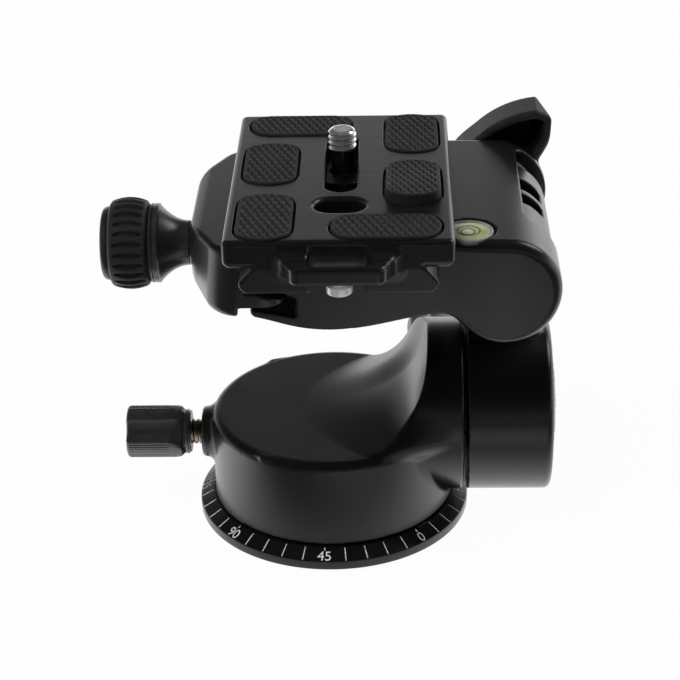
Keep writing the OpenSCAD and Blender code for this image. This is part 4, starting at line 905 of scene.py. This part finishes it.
clampKnob = {"z": 67.0, "start": -30.53, "neck": 5.0, "flareEnd": -37.23, "shoulder": 8.85, "gripStart": -39.43,
             "gripEnd": -48.53, "grip": 10.25, "crown": 1.0, "core": 8.0, "cap": 8.2, "capEnd": -50.1, "bore": 3.02,
             "ribs": 26, "ribDeep": 0.85, "groove": -38.55, "grooveDeep": 0.35, "capRim": 2.2, "capDeep": 0.35}


def addClampKnob(k):
    flare, long = k["shoulder"] - 0.3 - k["neck"], k["start"] - 0.4 - k["flareEnd"]
    path = [(k["bore"], k["start"]), (k["neck"] - 0.2, k["start"]), (k["neck"], k["start"] - 0.2)]
    path += [(k["neck"] + flare * t * t, k["start"] - 0.4 - long * t) for t in np.linspace(0, 1, 18)]
    path += [(k["shoulder"], k["flareEnd"] - 0.1)]
    path += [(k["shoulder"] - k["grooveDeep"] * (abs(d) < 0.15), k["groove"] + d) for d in (0.2, 0.1, -0.1, -0.2)]
    path += [(k["shoulder"], k["gripStart"] + 0.3), (k["shoulder"] - 0.3, k["gripStart"]),
             (k["core"], k["gripStart"]), (k["core"], k["gripEnd"]), (onAxis, k["gripEnd"]),
             (onAxis, k["gripStart"] - 0.1), (k["bore"], k["gripStart"] - 0.1)]
    points, faces = turned(path, "x", (0, 0, k["z"]), 128)
    addPiece("clampKnobCore", points, faces, "clamp_knob", "black_plastic", "knob", ["knob_core"])

    low, high = k["gripEnd"] + 0.25, k["gripStart"] - 0.25
    mid, half = (low + high) / 2, (high - low) / 2
    path = [(k["core"] + 0.02, high)]
    path += [(k["grip"] - k["crown"] * s * s - 0.7 * soften(abs(s), 0.86, 1.06), mid + half * s)
             for s in np.linspace(1, -1, 49)]
    path += [(k["core"] + 0.02, low)]

    def relief(turn, x, radius):
        off = (turn * k["ribs"] / (2 * math.pi)) % 1 - 0.5
        s = (x - mid) / half
        lens = np.clip(1 - ((s - 0.06) / 0.78) ** 2, 0, 1) ** 0.5
        groove = np.clip(1 - (off / (0.36 * lens + 1e-6)) ** 2, 0, 1) * (lens > 0)
        return -k["ribDeep"] * groove ** 0.8 * np.minimum(1, 1.5 * lens) * (radius > k["core"] + 0.1)

    points, faces = turned(path, "x", (0, 0, k["z"]), 480, relief)
    addPiece("clampKnobGrip", points, faces, "clamp_knob", "rubber", "grip", ["knob_grip"], sharp=60)
    rim, floor = k["cap"] - k["capRim"], k["capEnd"] + k["capDeep"]
    path = roundPath([(onAxis, k["gripEnd"], 0), (k["cap"], k["gripEnd"], 0.2), (k["cap"], k["capEnd"], 1.2),
                      (rim, k["capEnd"], 0.3), (rim - 0.4, floor, 0.2), (onAxis, floor, 0)])
    points, faces = turned(path, "x", (0, 0, k["z"]), 128)
    addPiece("clampKnobCap", points, faces, "clamp_knob", "black_plastic", "cap", ["knob_cap"])


addClampKnob(clampKnob)

dial = {"z": 25.8, "r": 15.75, "low": 49.3, "edge": 49.95, "crown": 1.4, "tick": 5, "number": 30, "line": 0.3,
        "tickIn": 13.4, "longIn": 12.6, "tickOut": 15.0, "lift": 0.03, "digitLow": 9.6, "digitHigh": 2.2,
        "groove": ((7.2, 7.2, 0.25), (6.9, 7, 0.3), (6.6, 7, 0.3), (6.3, 6.3, 0.25))}


def dialCrown(r):
    return dial["edge"] + dial["crown"] * (1 - (r / dial["r"]) ** 2)


def onDial(angle, r):
    return np.stack([dialCrown(r) + dial["lift"], r * np.cos(angle), dial["z"] + r * np.sin(angle)], -1)


def addDial(d):
    path = [(onAxis, d["low"]), (d["r"], d["low"]), (d["r"], d["edge"] - 0.1)]
    path += [(r, dialCrown(r)) for r in np.linspace(d["r"] - 0.1, d["groove"][0][0] + 0.1, 18)]
    path += [(r, dialCrown(level) - deep) for r, level, deep in d["groove"]]
    path += [(r, dialCrown(r)) for r in np.linspace(d["groove"][-1][0] - 0.1, onAxis, 10)]
    addPiece("tiltDial", *turned(path, "x", (0, 0, d["z"]), 160), "arm", "grey_plastic", "dial", ["tilt_dial"])
    points, faces = [], []
    for k in range(360 // d["tick"]):
        angle, first = math.radians(90 + k * d["tick"]), len(points)
        start = d["tickIn"] if k % 2 else d["longIn"]
        for r, side in ((start, 1), (d["tickOut"], 1), (d["tickOut"], -1), (start, -1)):
            points.append(onDial(np.array(angle + side * d["line"] / 2 / r), np.array(r)))
        faces.append([first, first + 1, first + 2, first + 3])
        if k * d["tick"] % d["number"] == 0:
            turn = k * d["tick"]
            flat, loops = textMesh(str(min(turn, 360 - turn)), d["digitHigh"])
            first = len(points)
            points.extend(onDial(angle - flat[:, 0] / (d["digitLow"] + 1), d["digitLow"] + flat[:, 1]))
            faces.extend([first + v for v in loop] for loop in loops)
    addPiece("dialMarks", points, faces, "arm", "black_plastic", "ink", sharp=None)


addDial(dial)

inner = {"steel": ("thread_insert", "tilt_axle", "tilt_washer", "tilt_spring_washer", "roll_bolt", "jaw_pins",
                   "clamp_screw", "screw_washer"), "blackSteel": ("retaining_screws",),
         "brass": ("pan_lock_bush", "tilt_lock_bush", "roll_bush_front", "roll_bush_rear", "lever_nut"),
         "ring": ("friction_ring", "tilt_bush", "pan_lock_shoe", "tilt_lock_shoe", "roll_washer_front",
                  "roll_washer_rear")}
for finish, names in inner.items():
    for name in names:
        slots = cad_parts[name].data.materials
        slots.clear()
        slots.append(finishes[finish])
print("inner pieces finished:", sum(map(len, inner.values())))

studio = {"floor": 0.80, "half": 3.0, "drop": 0.0002, "horizon": 1.8, "above": 0.05, "band": (0.12, 0.41),
          "front": 0.14, "frontFrom": (-0.7, 0.3), "left": 0.72, "leftFrom": (-0.45, -0.18),
          "sweep": ((-0.30, 0.03), (-0.22, 0.10), (-0.16, 0.62), (-0.12, 0.60), (-0.06, 0.29), (0.03, 0.0)),
          "lane": ((-0.05, 0.03), (0.05, 0.13)), "laneLow": 0.3, "laneHigh": 1.15, "rear": 1.2,
          "rearFrom": (-0.055, -0.01), "rearLeft": 0.4, "rearLeftFrom": (-0.07, -0.02),
          "key": (-0.45, -0.30, 0.85), "keySize": 0.8, "keyPower": 7.0,
          "fill": (0.70, 0.35, 0.75), "fillSize": 0.5, "fillPower": 2.5, "aim": (0, 0, 0.045)}


def addStudio(s):
    world = bpy.data.worlds.new("studio")
    scene.world = world
    world.use_nodes = True
    wire = Wire(world.node_tree)
    seen = wire.node("ShaderNodeLightPath", out="Is Camera Ray")
    look = wire.node("ShaderNodeSeparateXYZ", None, {0: wire.node("ShaderNodeTexCoord", out="Generated")}).socket.node
    aside, back, high = (Wire(wire.tree, look.outputs[k]) for k in range(3))
    glow = s["above"] + (s["horizon"] - s["above"]) * (1 - high.ramp(*s["band"]))
    glow = glow * (s["front"] + (1 - s["front"]) * back.ramp(*s["frontFrom"]))
    glow = glow * (1 - s["left"] * (1 - aside.ramp(*s["leftFrom"])))
    sky = world.node_tree.nodes["Background"]
    wire.fill(sky, {"Color": (1, 1, 1, 1), "Strength": seen + (1 - seen) * glow})
    height = min(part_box(name)[0][2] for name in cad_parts) - s["drop"]
    mesh = bpy.data.meshes.new("studioFloor")
    corners = [(x * s["half"], y * s["half"], height) for x, y in ((-1, -1), (1, -1), (1, 1), (-1, 1))]
    mesh.from_pydata(corners, [], [(0, 1, 2, 3)])
    f = Finish("studioFloor")
    path = f.wire.node("ShaderNodeLightPath").socket.node
    direct, mirrored = (Wire(f.wire.tree, path.outputs[name]) for name in ("Is Camera Ray", "Is Glossy Ray"))
    near, far = s["sweep"][0][0], s["sweep"][-1][0]  # what the metal mirrors, from front to back
    spot = f.wire.node("ShaderNodeSeparateXYZ", None, {0: f.place}).socket.node
    across, along = Wire(f.wire.tree, spot.outputs[0]), Wire(f.wire.tree, spot.outputs[1])
    depth = (along - near) * (1 / (far - near))
    stops = [((y - near) / (far - near), grey(e)) for y, e in s["sweep"]]
    glow = f.wire.node("ShaderNodeValToRGB", {"stops": stops}, {0: depth})
    start, end = s["lane"]
    glow = glow * (s["laneLow"] + s["laneHigh"] * across.ramp(*start) * (1 - across.ramp(*end)))
    rear = s["rear"] * (1 + s["rearLeft"] - s["rearLeft"] * across.ramp(*s["rearLeftFrom"]))
    glow = glow + rear * along.ramp(*s["rearFrom"])
    white = f.wire.node("ShaderNodeEmission", None, {"Strength": direct + glow * mirrored})
    f.set(color=f.noise(40).blend(grey(s["floor"]), grey(s["floor"] * 1.02)), rough=0.9, level=0.0)
    plain = Wire(f.wire.tree, f.shader.outputs[0])
    both = f.wire.node("ShaderNodeMixShader", None, {0: 0.97 * direct + mirrored, 1: plain, 2: white})
    f.wire.fill(f.material.node_tree.nodes["Material Output"], {"Surface": both})
    mesh.materials.append(f.material)
    floor = bpy.data.objects.new("studioFloor", mesh)
    scene.collection.objects.link(floor)
    for label in ("key", "fill"):
        lamp = bpy.data.lights.new(label + "Lamp", "AREA")
        lamp.shape, lamp.size, lamp.energy = "DISK", s[label + "Size"], s[label + "Power"]
        holder = bpy.data.objects.new(label + "Lamp", lamp)
        holder.location = s[label]
        holder.visible_glossy = label != "key"  # the soft key shows in colours, not as a glare on the paint
        aim = Vector(s["aim"]) - Vector(s[label])
        holder.rotation_euler = aim.to_track_quat("-Z", "Y").to_euler()
        scene.collection.objects.link(holder)


addStudio(studio)
print("studio lit")

bpy.context.view_layer.update()
